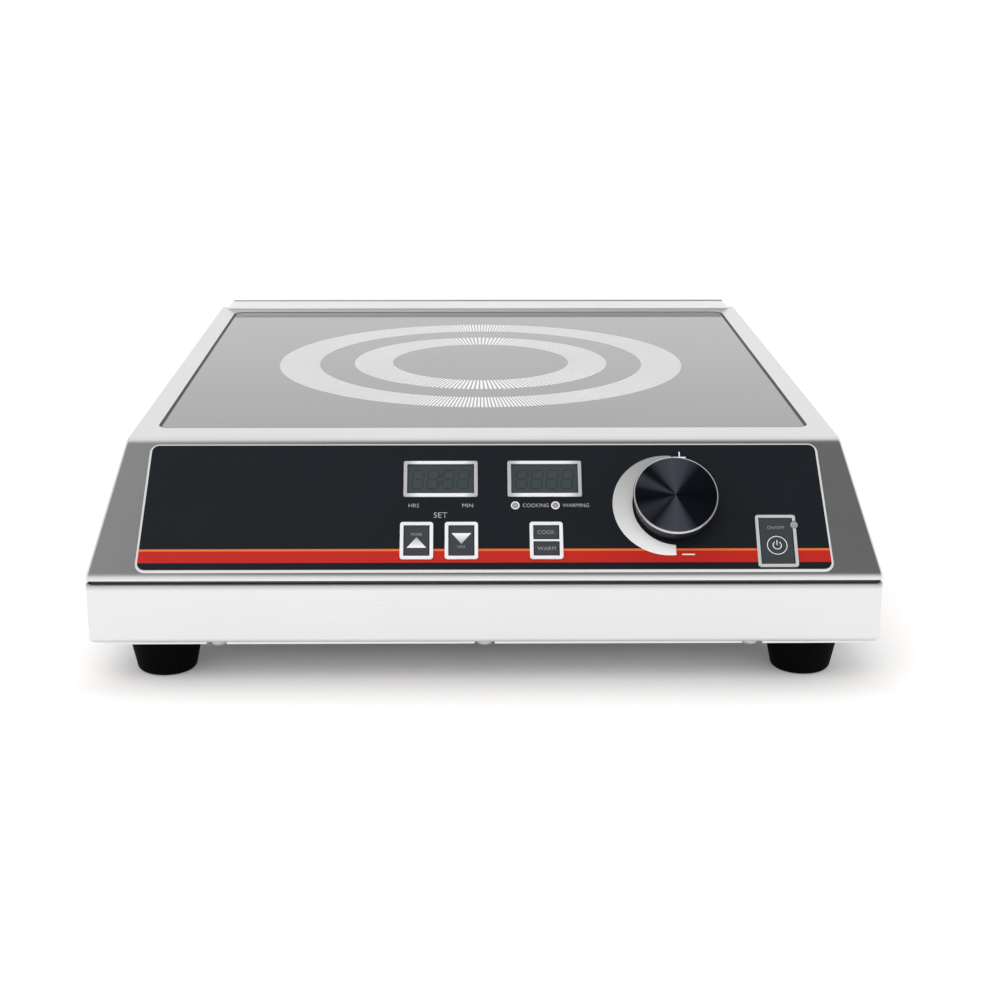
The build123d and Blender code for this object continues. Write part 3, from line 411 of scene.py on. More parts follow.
class Finish:
    """A node material being wired up around one principled shader."""

    def __init__(self, name, **sockets):
        self.material = bpy.data.materials.new(name)
        self.material.use_nodes = True
        self.tree = self.material.node_tree
        self.shader = self.wire(self.tree.nodes["Principled BSDF"], **sockets)

    def add(self, kind, **options):
        node = self.tree.nodes.new(kind)
        for name, value in options.items():
            setattr(node, name, value)
        return node

    def feed(self, socket, value):
        """Links an output to a socket, or sets the socket to a number, a vector or a colour."""
        if isinstance(value, bpy.types.NodeSocket):
            self.tree.links.new(value, socket)
        elif socket.type == "RGBA":
            socket.default_value = (*value, 1)
        else:
            socket.default_value = value

    def wire(self, node, **sockets):
        """Feeds a node's sockets by their names."""
        for name, value in sockets.items():
            self.feed(node.inputs[name.replace("_", " ")], value)
        return node

    def shade(self, out, socket):
        self.feed(self.shader.inputs[socket], out)

    def split(self, vector):
        """The X, Y and Z of a vector."""
        node = self.add("ShaderNodeSeparateXYZ")
        self.feed(node.inputs[0], vector)
        return node.outputs

    def place(self):
        """The object's own coordinates."""
        return self.add("ShaderNodeTexCoord").outputs["Object"]

    def noise(self, stretch, detail=3.0, roughness=0.55):
        """Noise on the object's own coordinates, in features per metre, alike or along x, y and z."""
        if not isinstance(stretch, tuple):
            stretch = (stretch, stretch, stretch)
        mapping = self.wire(self.add("ShaderNodeMapping"), Vector=self.place(), Scale=stretch)
        texture = self.wire(
            self.add("ShaderNodeTexNoise"), Vector=mapping.outputs["Vector"],
            Scale=1, Detail=detail, Roughness=roughness,
        )
        return texture.outputs["Fac"]

    def spread(self, value, low, high, start=0.25, end=0.75, soft=False):
        """Maps a value onto a range, with soft ends if asked."""
        node = self.add("ShaderNodeMapRange", interpolation_type="SMOOTHSTEP" if soft else "LINEAR")
        self.wire(node, Value=value, From_Min=start, From_Max=end, To_Min=low, To_Max=high)
        return node.outputs["Result"]

    def blend(self, share, first, second, how="MIX", kind="RGBA"):
        """A colour or a number between two, by share. Each may be a value or an output."""
        node = self.wire(self.add("ShaderNodeMix", data_type=kind, blend_type=how), Factor=share)
        at_none, at_full, result = MIX_SOCKETS[kind]
        self.feed(node.inputs[at_none], first)
        self.feed(node.inputs[at_full], second)
        return node.outputs[result]

    def math(self, operation, first, second=0):
        node = self.add("ShaderNodeMath", operation=operation)
        self.feed(node.inputs[0], first)
        self.feed(node.inputs[1], second)
        return node.outputs[0]

    def bump(self, height, strength, depth):
        node = self.wire(self.add("ShaderNodeBump"), Strength=strength, Distance=depth, Height=height)
        self.shade(node.outputs["Normal"], "Normal")


def fill_ramp(node, stops):
    """Sets a colour ramp's greys from stops of (position, grey)."""
    elements = node.color_ramp.elements
    for position, _ in stops[1:-1]:
        elements.new(position)
    for element, (position, grey) in zip(elements, stops):
        element.position = position
        element.color = (grey, grey, grey, 1)


def darker(colour, share):
    return tuple(channel * share for channel in colour)


def lip_height():
    """The lower edge of the shell's lip, under which its skirt stands unseen inside the tray."""
    points = node_points("top_shell")
    front = min(point.y for point in points)
    return min(point.z for point in points if point.y < front + 0.01 * MM)


def deck_height():
    """The level of the shell's deck, in front of the glass."""
    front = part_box("glass_top")[0].y
    return max(point.z for point in node_points("top_shell") if point.y < front)


# Grains of the finishes, in features per metre
BRUSH_ALONG = 9
BRUSH_ACROSS = 3200
HANDLING = 11
WIPES = (9, 26, 9)
GLASS_SPECKS = 420
FINE_GRAIN = 900
RUBBER_GRAIN = 1500
CLOUDS = 45
LATHE_GROOVES = 9000
FLOOR_SPECKLE = 3

# Depths of the grains
BRUSH_DEPTH = 0.01 * MM
GRAIN_DEPTH = 0.02 * MM
RUBBER_DEPTH = 0.05 * MM
SMOOTH_DEPTH = 0.004 * MM

SIDE_FACING = 0.7
# Over this height the painted highlight of the bead fades in.
HIGHLIGHT_FADE = 0.4 * MM


def brushed_steel(name, colour, start, end, shade_share, bead, crest):
    """Brushed sheet steel: the grain runs along the front, and along the sides on their faces.

    Between two heights the sheet grows rougher and its colour darkens, down to a share of it: painted
    shade.
    Above a crest it takes the bead's lighter colour: a painted highlight.
    """
    finish = Finish(name, Metallic=1.0)
    along_front = finish.noise((BRUSH_ALONG, BRUSH_ACROSS, BRUSH_ACROSS), detail=2)
    along_side = finish.noise((BRUSH_ACROSS, BRUSH_ALONG, BRUSH_ACROSS), detail=2)
    normal = finish.split(finish.add("ShaderNodeNewGeometry").outputs["Normal"])
    sideways = finish.math("ABSOLUTE", normal["X"])
    on_side = finish.math("GREATER_THAN", sideways, SIDE_FACING)
    grain = finish.blend(on_side, along_front, along_side, kind="FLOAT")
    handling = finish.noise(HANDLING, detail=2)
    height = finish.split(finish.place())["Z"]
    # Painted shade: between the two heights the colour darkens to a share of itself.
    painted_shade = finish.spread(height, 0, 1, start, end)
    # Painted highlight: above the crest the colour turns to the bead's lighter one.
    painted_highlight = finish.spread(height, 0, 1, crest, crest + HIGHLIGHT_FADE)
    in_grain = darker(colour, 0.975)
    handled = darker(colour, 0.94)
    tone = finish.blend(finish.spread(grain, 0, 1), in_grain, colour)
    tone = finish.blend(finish.spread(handling, 0, 0.35), tone, handled)
    tone = finish.blend(painted_highlight, tone, bead)
    finish.shade(finish.blend(painted_shade, tone, darker(colour, shade_share)), "Base Color")
    brushed_rough = finish.spread(grain, low=0.25, high=0.28)
    handled_rough = finish.spread(handling, low=0.0, high=0.05)
    shade_rough = finish.math("MULTIPLY", painted_shade, 0.2)
    rough = finish.math("ADD", brushed_rough, handled_rough)
    finish.shade(finish.math("ADD", rough, shade_rough), "Roughness")
    finish.bump(grain, strength=0.02, depth=BRUSH_DEPTH)
    return finish.material


def plate_glass(colour):
    """Polished ceramic glass with faint wipe marks."""
    finish = Finish("plate_glass", IOR=1.5, Coat_Weight=0.6, Coat_Roughness=0.06, Coat_IOR=1.5)
    wipes = finish.noise(WIPES, detail=4)
    specks = finish.noise(GLASS_SPECKS, detail=2)
    finish.shade(finish.blend(finish.spread(specks, 0, 1), darker(colour, 0.85), colour), "Base Color")
    finish.shade(finish.spread(wipes, low=0.05, high=0.13), "Roughness")
    return finish.material


def satin(
    name, colour, roughness, grain=FINE_GRAIN, depth=GRAIN_DEPTH, metallic=0.0, vary=0.85, gloss=0.5
):
    """A satin plastic, film, ink or paint with a fine grain, whose colour varies down to a share."""
    finish = Finish(name, Metallic=metallic, Specular_IOR_Level=gloss)
    fine = finish.noise(grain)
    clouds = finish.noise(CLOUDS, detail=2)
    finish.shade(finish.blend(finish.spread(clouds, 0, 1), darker(colour, vary), colour), "Base Color")
    finish.shade(finish.spread(fine, roughness * 0.85, min(1, roughness * 1.15)), "Roughness")
    finish.bump(fine, strength=0.15, depth=depth)
    return finish.material


def shaded_ink(name, low_colour, high_colour, low, high):
    """Ink that shades from one tone to another up the object."""
    finish = Finish(name)
    rise = finish.spread(finish.split(finish.place())["Z"], 0, 1, low, high)
    finish.shade(finish.blend(rise, low_colour, high_colour), "Base Color")
    finish.shade(finish.spread(finish.noise(FINE_GRAIN), low=0.38, high=0.5), "Roughness")
    return finish.material


def silver_painted_sheen(name, colour, middle, reach):
    """Silver with a painted sheen: bright in the middle of a frame and grey at its two sides."""
    finish = Finish(name, Metallic=0.2)
    across = finish.split(finish.place())["X"]
    off = finish.math("ABSOLUTE", finish.math("SUBTRACT", across, middle))
    side = finish.spread(off, 0, 1, start=reach * 0.55, end=reach * 0.97, soft=True)
    finish.shade(finish.blend(side, colour, darker(colour, 0.55)), "Base Color")
    finish.shade(finish.spread(finish.noise(FINE_GRAIN), low=0.26, high=0.34), "Roughness")
    return finish.material


# Painted reflection fans on the knob's face: degrees round its axis, and how light the painted reflection
# is there
PAINTED_FANS = (
    (0, 0.0), (50, 0.05), (72, 0.75), (95, 1.0), (118, 0.7), (131, 0.05), (140, 0.05), (150, 0.7),
    (160, 0.6), (171, 0.05), (190, 0.0), (208, 0.4), (220, 0.3), (232, 0.08), (246, 0.7), (266, 1.0),
    (284, 0.8), (300, 0.05), (360, 0.0),
)


def spun_metal_painted_fans(name, dark, light, roughness, anisotropy):
    """Lathe-turned metal with fine grooves round the axis, and light fans painted into its colour as a
    painted reflection, on the piece's own map.
    """
    finish = Finish(name, Metallic=1.0, Anisotropic=anisotropy)
    turning = finish.split(finish.add("ShaderNodeUVMap", uv_map="turning").outputs["UV"])
    texture = finish.wire(
        finish.add("ShaderNodeTexNoise", noise_dimensions="1D"),
        W=turning["X"], Scale=LATHE_GROOVES, Detail=3,
    )
    grooves = texture.outputs["Fac"]
    # A ramp round the axis paints the reflection fans between the dark and the light colour.
    fans = finish.wire(finish.add("ShaderNodeValToRGB"), Fac=turning["Y"])
    fill_ramp(fans, [(degrees / 360, painted_light_share) for degrees, painted_light_share in PAINTED_FANS])
    tone = finish.blend(fans.outputs["Color"], dark, light)
    finish.shade(finish.blend(1, tone, finish.spread(grooves, 0.75, 1.0), "MULTIPLY"), "Base Color")
    finish.shade(finish.spread(grooves, roughness * 0.85, roughness * 1.15), "Roughness")
    tangent = finish.add("ShaderNodeTangent", direction_type="UV_MAP", uv_map="turning")
    finish.shade(tangent.outputs["Tangent"], "Tangent")
    return finish.material


class COOKER_OT_shell(bpy.types.Operator):
    """Brushes the steel of the top shell and the base tray"""

    bl_idname = "cooker.shell"
    bl_label = "Shell and tray"

    def execute(self, context):
        finishes = context.scene.cooker_finishes
        lip = lip_height()
        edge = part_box("base_tray")[1].z
        skirt_fade = 0.1 * MM
        edge_fade = 2.6 * MM
        # The skirt under the shell's lip and the tray's top edge are darkened as painted shade along the
        # seam between them.
        sheets = (
            ("shell_steel", "top_shell", lip, lip - skirt_fade, 0.12),
            ("tray_steel", "base_tray", edge - edge_fade, edge, 0.5),
        )
        for name, node, start, end, shade_share in sheets:
            steel = brushed_steel(name, finishes.steel, start, end, shade_share, finishes.bead, deck_height())
            dress(steel, node)
        return {"FINISHED"}


HEM_DROP = 1.1 * MM
HEM_BEVEL = 0.15 * MM
HEM_SET_BACK = 2.4 * MM
HEM_SHEET = 1.2 * MM
HEM_END = 6 * MM
SCREW_CLEARANCE = 4.1 * MM
# A screw breaks the hem of an edge that lies within this reach of it.
SCREW_REACH = 15 * MM
# Points that lie closer together than this belong to one screw.
SCREW_SPREAD = 12 * MM


class COOKER_OT_hem(bpy.types.Operator):
    """Folds a thin hem down under the tray's edges, in lengths between the screws"""

    bl_idname = "cooker.hem"
    bl_label = "Tray hem"

    def execute(self, context):
        low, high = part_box("base_tray")
        piece = flat_shape("tray_hem", self.lengths(low, high))
        thicken(piece, HEM_DROP)
        edit_all(piece)
        bpy.ops.mesh.bevel(offset=HEM_BEVEL, segments=2, affect="EDGES")
        close_edit()
        put(piece, Matrix.Translation((0, 0, low.z - HEM_DROP)))
        steel = frame["nodes"]["base_tray"].material_slots[0].material
        hand_over(piece, CHASSIS, steel)
        return {"FINISHED"}

    def lengths(self, low, high):
        """Plan outlines of the hem along the tray's four edges."""
        screws = self.screw_places()
        outlines = []
        for along, across in ((0, 1), (1, 0)):
            for edge, inward in ((low[across] + HEM_SET_BACK, 1), (high[across] - HEM_SET_BACK, -1)):
                stops = sorted(place[along] for place in screws if abs(place[across] - edge) < SCREW_REACH)
                starts = [low[along] + HEM_END] + [stop + SCREW_CLEARANCE for stop in stops]
                ends = [stop - SCREW_CLEARANCE for stop in stops] + [high[along] - HEM_END]
                near, far = sorted((edge, edge + inward * HEM_SHEET))
                for start, end in zip(starts, ends):
                    corners = box_outline(start, near, end, far)
                    outlines.append(corners if along == 0 else [(v, u) for u, v in corners])
        return outlines

    def screw_places(self):
        """The middles of the screws under the tray, in plan."""
        screws = []
        for point in node_points("base_screws"):
            near = (screw for screw in screws if (screw[0].xy - point.xy).length < SCREW_SPREAD)
            screw = next(near, None)
            if screw is None:
                screws.append([point])
            else:
                screw.append(point)
        return [sum(screw, Vector()) / len(screw) for screw in screws]


class COOKER_OT_glass(bpy.types.Operator):
    """Polishes the glass plate, seals it and prints the two rings of the cooking zone"""

    bl_idname = "cooker.glass"
    bl_label = "Glass and its rings"

    def execute(self, context):
        finishes, prints = settings(context)
        dress(plate_glass(finishes.glass), "glass_top")
        dress(satin("seal_silicone", finishes.seal, 0.5), "glass_seal")
        ink = satin("ring_ink", finishes.ring_ink, 0.35, vary=0.94)
        rings = (
            ("outer_ring", prints.outer_ring_inside, prints.outer_ring_outside, prints.outer_ticks),
            ("inner_ring", prints.inner_ring_inside, prints.inner_ring_outside, prints.inner_ticks),
        )
        for name, inside, outside, ticks in rings:
            piece = self.tick_ring(name, inside, outside, ticks, prints)
            put(piece, on_glass())
            hand_over(piece, CHASSIS, ink)
        return {"FINISHED"}

    def tick_ring(self, name, inside, outside, ticks, prints):
        """One tapered mark, repeated round the ring."""
        width = math.tau * outside / ticks * prints.tick_share
        middle = (inside + outside) / 2
        piece = begin(
            name, bpy.ops.mesh.primitive_cube_add, size=1, location=(0, middle, prints.thickness / 2)
        )
        piece.scale = (width, outside - inside, prints.thickness)
        bpy.ops.object.transform_apply(location=True, rotation=True, scale=True)
        self.select_inner_end(piece, middle)
        share = inside / outside
        bpy.ops.transform.resize(value=(share, 1, 1))
        bpy.ops.mesh.select_all(action="SELECT")
        bpy.ops.mesh.spin(
            steps=ticks - 1, dupli=True, angle=math.tau * (ticks - 1) / ticks,
            center=(0, 0, 0), axis=(0, 0, 1),
        )
        close_edit()
        return piece

    def select_inner_end(self, piece, middle):
        """In edit mode, selects the end of a mark that lies nearer to the ring's axis."""
        bpy.ops.object.mode_set(mode="EDIT")
        bpy.ops.mesh.select_mode(type="VERT")
        bpy.ops.mesh.select_all(action="DESELECT")
        close_edit()
        for vertex in piece.data.vertices:
            vertex.select = vertex.co.y < middle
        bpy.ops.object.mode_set(mode="EDIT")


# The bands stop this far short of the film's ends.
BAND_MARGIN = 0.05 * MM


class COOKER_OT_film(bpy.types.Operator):
    """Gives the control film its ground and its red and orange bands"""

    bl_idname = "cooker.film"
    bl_label = "Control film and its bands"

    def execute(self, context):
        finishes, prints = settings(context)
        dress(satin("film_ground", finishes.film, 0.42, vary=0.92, gloss=0.25), FILM)
        line_top = prints.band_high + prints.line_width
        bands = (
            ("red_band", prints.band_low, prints.band_high, finishes.red_ink),
            ("orange_line", prints.band_high, line_top, finishes.orange_ink),
        )
        for name, low, high, colour in bands:
            piece = flat_shape(name, self.band(prints, low, high))
            ink = satin(name + "_ink", colour, 0.4, vary=0.95, gloss=0.25)
            lay(piece, prints.thickness, FILM, 0, 0, ink)
        return {"FINISHED"}

    def band(self, prints, low, high):
        """A band's outlines between the film's sloping ends, cut out round the key frames."""
        frames = sorted((panel_box(node) for node in KEY_FRAMES), key=lambda box: box[0].x)
        corner = prints.frame_corner
        low_end = self.film_half_width(low)
        high_end = self.film_half_width(high)
        outlines = []
        stretch = [(-low_end, low), (-high_end, high)]
        for foot, head in frames:
            if foot.y < low:
                outlines.append(stretch + [(foot.x, high), (foot.x, low)])
                stretch = [(head.x, low), (head.x, high)]
                continue
            stretch.append((foot.x, high))
            stretch += arc((foot.x + corner, foot.y + corner), corner, 180, 270, 6)
            stretch += arc((head.x - corner, foot.y + corner), corner, 270, 360, 6)
            stretch.append((head.x, high))
        outlines.append(stretch + [(high_end, high), (low_end, low)])
        return outlines

    def film_half_width(self, height):
        """How far the film reaches from its middle at a height up the slope."""
        points = panel_points(FILM)
        foot = max(points, key=lambda point: point.x)
        middle = sum(point.y for point in points) / len(points)
        head = max((point for point in points if point.y > middle), key=lambda point: point.x)
        lean = (head.x - foot.x) / (head.y - foot.y)
        return foot.x + lean * (height - foot.y) - BAND_MARGIN


class COOKER_OT_frames(bpy.types.Operator):
    """Silvers the display frames and the key frames"""

    bl_idname = "cooker.frames"
    bl_label = "Display and key frames"

    def execute(self, context):
        finishes = context.scene.cooker_finishes
        silver = satin("frame_silver", finishes.frames, 0.3, metallic=0.2, vary=0.95)
        dress(silver, "up_key_bezel", "down_key_bezel", "mode_key_bezel")
        grey = satin("power_frame_silver", darker(finishes.frames, 0.68), 0.3, metallic=0.2, vary=0.9)
        dress(grey, "power_key_bezel")
        # The display frames carry a painted sheen, bright in the middle and grey at the sides.
        for node in ("timer_bezel", "heat_bezel"):
            low, high = panel_box(node)
            reach = (high.x - low.x) / 2
            dress(silver_painted_sheen(node + "_silver", finishes.frames, low.x + reach, reach), node)
        return {"FINISHED"}


# Shares of a digit's height, and of a bar's thickness
DIGIT_WIDTH = 0.52
DIGIT_PITCH = 0.74
DIGIT_BAR = 0.095
BAR_GAP = 0.25
COLON_DOT = 0.8
DIGIT_LEAN = math.tan(math.radians(6))


class COOKER_OT_displays(bpy.types.Operator):
    """Tints the two displays and lays their unlit digits on them"""

    bl_idname = "cooker.displays"
    bl_label = "Displays"

    def execute(self, context):
        finishes, prints = settings(context)
        dress(satin("display_glass", finishes.display, 0.16, depth=SMOOTH_DEPTH), "timer_lcd", "heat_lcd")
        ink = satin("digit_ink", finishes.digits, 0.2, depth=SMOOTH_DEPTH)
        for node, name in (("timer_lcd", "timer_digits"), ("heat_lcd", "heat_digits")):
            middle = panel_centre(node)
            piece = flat_shape(name, self.digits(prints.digit_height, node == "timer_lcd"))
            lay(piece, prints.thickness, node, middle.x, middle.y, ink)
        return {"FINISHED"}

    def digits(self, height, colon):
        """Four seven-bar digits, leaning a little, with a colon between the pairs if asked."""
        width = height * DIGIT_WIDTH
        bar = height * DIGIT_BAR
        gap = bar * BAR_GAP
        outlines = []
        for index in range(4):
            middle = (index - 1.5) * height * DIGIT_PITCH
            for row in (-1, 0, 1):
                outlines.append(self.bar(middle, row * height / 2, width, bar, gap, True))
            for side in (-1, 1):
                for half in (-1, 1):
                    at = (middle + side * width / 2, half * height / 4)
                    outlines.append(self.bar(*at, height / 2, bar, gap, False))
        if colon:
            for half in (-1, 1):
                outlines.append(arc((0, half * height / 5), bar * COLON_DOT, 0, 330, 11))
        return [[(x + y * DIGIT_LEAN, y) for x, y in outline] for outline in outlines]

    def bar(self, x, y, length, thick, gap, flat):
        """One bar of a digit, pointed at both ends."""
        reach = length / 2 - gap
        half = thick / 2
        points = (
            (-reach, 0), (half - reach, -half), (reach - half, -half),
            (reach, 0), (reach - half, half), (half - reach, half),
        )
        return [(x + a, y + b) if flat else (x - b, y + a) for a, b in points]


ARROW_HALF_WIDTH = 4.05 * MM
ARROW_HEIGHT = 4.8 * MM
ARROW_DROP = 0.9 * MM
ARROW_LABEL_RISE = 2.8 * MM
# The power key's marks: an outer ring, and a broken ring with a stem inside it
POWER_SIGN_RISE = 8.1 * MM
POWER_RING = (3.88 * MM, 4.17 * MM)
POWER_ARC = (1.54 * MM, 1.86 * MM)
POWER_ARC_ENDS = (125, 415)
STEM_HALF_WIDTH = 0.16 * MM
STEM_ENDS = (0.1 * MM, 2.3 * MM)
POWER_LABEL_DROP = 4.2 * MM


class COOKER_OT_keys(bpy.types.Operator):
    """Colours the five keys and prints their marks, which move with them"""

    bl_idname = "cooker.keys"
    bl_label = "Keys"

    def execute(self, context):
        finishes, prints = settings(context)
        dress(
            satin("key_grey", finishes.keys, 0.45, vary=0.92),
            "up_key", "down_key", "heat_key", "hold_key", "power_key",
        )
        bright = finishes.white_ink
        dim = darker(bright, 0.40)
        white = satin("key_ink", bright, 0.4, vary=0.93)
        pale = satin("key_label_ink", dim, 0.45, vary=0.93)
        arrows = (
            ("up_key", "up_arrow", 0, ("up_arrow_ink", bright, dim)),
            ("down_key", "down_arrow", math.pi, ("down_arrow_ink", dim, bright)),
        )
        for node, name, turn, ink in arrows:
            middle = panel_centre(node)
            lay(self.arrow(name, turn), prints.thickness, node, middle.x, middle.y, ink)
        words = (
            ("heat_key", "COOK", 0, 1.0),
            ("hold_key", "WARM", 0, 1.0),
            ("up_key", "MORE", ARROW_LABEL_RISE, 0.7),
            ("down_key", "LESS", -ARROW_LABEL_RISE, 0.7),
        )
        for node, word, rise, size in words:
            middle = panel_centre(node)
            piece = lettering(node + "_label", word, prints.label_height * size)
            lay(piece, prints.thickness, node, middle.x, middle.y + rise, pale)
        self.power_marks(prints, white, pale)
        return {"FINISHED"}

    def arrow(self, name, turn):
        """A flat arrowhead about the key's middle, turned from pointing up the slope."""
        radius = ARROW_HEIGHT / 1.5
        piece = begin(
            name, bpy.ops.mesh.primitive_circle_add, vertices=3, radius=radius, fill_type="NGON"
        )
        edit_all(piece)
        half_side = radius * math.cos(math.radians(30))
        bpy.ops.transform.resize(value=(ARROW_HALF_WIDTH / half_side, 1, 1))
        bpy.ops.transform.translate(value=(0, ARROW_HEIGHT / 2 - radius - ARROW_DROP, 0))
        close_edit()
        face_up(piece)
        put(piece, Matrix.Rotation(turn, 4, "Z"))
        return piece

    def power_marks(self, prints, white, pale):
        """The ring, the broken ring and stem inside it, and the label above them."""
        low, high = panel_box("power_key")
        middle = (low.x + high.x) / 2
        inside, outside = POWER_ARC
        first, last = POWER_ARC_ENDS
        broken = arc((0, 0), outside, first, last) + arc((0, 0), inside, last, first)
        stem = box_outline(-STEM_HALF_WIDTH, STEM_ENDS[0], STEM_HALF_WIDTH, STEM_ENDS[1])
        sign_row = low.y + POWER_SIGN_RISE
        label_row = high.y - POWER_LABEL_DROP
        label_height = prints.label_height * 0.8
        marks = (
            (ring_shape("power_ring", *POWER_RING), sign_row, white),
            (flat_shape("power_sign", [broken, stem]), sign_row, white),
            (lettering("power_label", "ON/OFF", label_height), label_row, pale),
        )
        for piece, row, ink in marks:
            lay(piece, prints.thickness, "power_key", middle, row, ink)


# Places of the labels, from the ends of the display frame and of the lamps
HOUR_LABEL_INSET = 4.4 * MM
MINUTE_LABEL_INSET = 4.2 * MM
TIMER_LABEL_DROP = 4.4 * MM
COOK_LABEL_OFFSET = 10.35 * MM
WARM_LABEL_OFFSET = 6.65 * MM
WIDE_LETTERS = 1.05
NARROW_LETTERS = 0.93


class COOKER_OT_labels(bpy.types.Operator):
    """Prints the small labels of the displays and the lamps on the film"""

    bl_idname = "cooker.labels"
    bl_label = "Labels on the film"

    def execute(self, context):
        finishes, prints = settings(context)
        ink = satin("label_ink", darker(finishes.white_ink, 0.55), 0.45, vary=0.93)
        display_low, display_high = panel_box("timer_bezel")
        display_middle = (display_low.x + display_high.x) / 2
        lamps_low, lamps_high = panel_box("mode_lamps")
        row = (lamps_low.y + lamps_high.y) / 2
        small = prints.label_height
        large = small * 1.45
        labels = (
            ("hour_label", "HRS", display_low.x + HOUR_LABEL_INSET, row, small, WIDE_LETTERS),
            ("minute_label", "MIN", display_high.x - MINUTE_LABEL_INSET, row, small, WIDE_LETTERS),
            ("timer_label", "SET", display_middle, row - TIMER_LABEL_DROP, large, WIDE_LETTERS),
            ("cook_label", "COOKING", lamps_low.x + COOK_LABEL_OFFSET, row, small, NARROW_LETTERS),
            ("warm_label", "WARMING", lamps_high.x + WARM_LABEL_OFFSET, row, small, NARROW_LETTERS),
        )
        for name, words, u, v, height, narrow in labels:
            lay(lettering(name, words, height, narrow), prints.thickness, FILM, u, v, ink)
        return {"FINISHED"}


# The rings round the lamps, out from the edge of the lens
LAMP_RING_START = 0.15 * MM
LAMP_RING_END = 0.6 * MM


class COOKER_OT_lamps(bpy.types.Operator):
    """Tints the lamp lenses and prints the rings round them"""

    bl_idname = "cooker.lamps"
    bl_label = "Lamps"

    def execute(self, context):
        finishes, prints = settings(context)
        dress(satin("lamp_lens", finishes.lens, 0.22, depth=SMOOTH_DEPTH), "mode_lamps", "power_lamp")
        ink = satin("lamp_ring_ink", finishes.white_ink, 0.4, vary=0.95)
        level = panel_box(FILM)[1].z
        low, high = span([point for point in panel_points("mode_lamps") if point.z > level])
        radius = (high.y - low.y) / 2
        for name, centre in (("cook_lamp_ring", low.x + radius), ("warm_lamp_ring", high.x - radius)):
            piece = ring_shape(name, radius + LAMP_RING_START, radius + LAMP_RING_END)
            lay(piece, prints.thickness, FILM, centre, low.y + radius, ink)
        return {"FINISHED"}


KNOB_EDGE = 0.7 * MM
KNOB_RIM = 0.5 * MM
KNOB_DISH = 0.25 * MM
KNOB_WALL = 1.4 * MM
KNOB_TOP = 2.2 * MM
KNOB_DRAFT = 1.3 * MM
KNOB_CHAMFER = 0.4 * MM
KNOB_FACETS = 144
# A point this near to the axis has no heading of its own.
ON_AXIS = 1e-6
# How much of its height the skirt takes on the map
SKIRT_SHARE = 0.5


class COOKER_OT_knob(bpy.types.Operator):
    """Turns the knob's cap with its spun face and bright cut edge, both with painted reflection fans, and
    its dark skirt
    """

    bl_idname = "cooker.knob"
    bl_label = "Knob"

    def execute(self, context):
        finishes = context.scene.cooker_finishes
        low, high = panel_box("knob_cap")
        middle = (low + high) / 2
        radius = (high.x - low.x) / 2
        height = high.z - low.z
        piece = spun_shape("knob_turned", self.profile(radius, height), KNOB_FACETS)
        self.map_turning(piece)
        # The face and the cut edge both get painted reflection fans in their colour.
        face = spun_metal_painted_fans("knob_face", finishes.knob, finishes.knob_painted_fans, roughness=0.34, anisotropy=0.6)
        bright = finishes.knob_edge
        cut = spun_metal_painted_fans("knob_cut_edge", darker(bright, 0.8), bright, roughness=0.22, anisotropy=0.0)
        skirt = satin("knob_skirt", finishes.knob, 0.5, metallic=0.2, gloss=0.3)
        finish_with(piece, face, cut, skirt)
        for polygon in piece.data.polygons:
            reach = math.hypot(polygon.center.x, polygon.center.y)
            if polygon.center.z > height - KNOB_EDGE and reach > radius - KNOB_EDGE:
                polygon.material_index = 1
            elif polygon.center.z < height - KNOB_EDGE:
                polygon.material_index = 2
        pick(piece)
        bpy.ops.object.shade_smooth_by_angle(angle=math.radians(30))
        put(piece, PANEL @ Matrix.Translation((middle.x, middle.y, low.z)))
        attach(piece, "knob")
        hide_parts("knob_cap")
        return {"FINISHED"}

    def profile(self, radius, height):
        """The dished face, the cut edge, the skirt drawn in towards its foot, and the hollow inside."""
        foot = radius - KNOB_DRAFT
        return [
            (0, height - KNOB_DISH), (radius * 0.5, height - KNOB_DISH * 0.8),
            (radius - KNOB_EDGE - KNOB_RIM, height - KNOB_DISH * 0.1), (radius - KNOB_EDGE, height),
            (radius - KNOB_EDGE * 0.35, height - KNOB_EDGE * 0.3), (radius, height - KNOB_EDGE),
            (foot, KNOB_CHAMFER), (foot - KNOB_CHAMFER, 0), (foot - KNOB_WALL, 0),
            (radius - KNOB_WALL, height - KNOB_TOP), (0, height - KNOB_TOP),
        ]

    def map_turning(self, piece):
        """A map whose first axis runs out from the middle and whose second runs round."""
        turning = piece.data.uv_layers.new(name="turning")
        for polygon in piece.data.polygons:
            heading = math.atan2(polygon.center.y, polygon.center.x) % math.tau
            for loop in polygon.loop_indices:
                place = piece.data.vertices[piece.data.loops[loop].vertex_index].co
                reach = math.hypot(place.x, place.y)
                turn = heading
                if reach > ON_AXIS:
                    turn = math.atan2(place.y, place.x)
                    turn += math.tau * round((heading - turn) / math.tau)
                turning.data[loop].uv = (reach + abs(place.z) * SKIRT_SHARE, turn / math.tau)


# The plus and the minus, from the knob's middle
SIGN_ARM = 2.6 * MM
SIGN_STROKE = 0.55 * MM
PLUS_PLACE = (3.6 * MM, 22.2 * MM)
MINUS_PLACE = (5.0 * MM, -22.6 * MM)


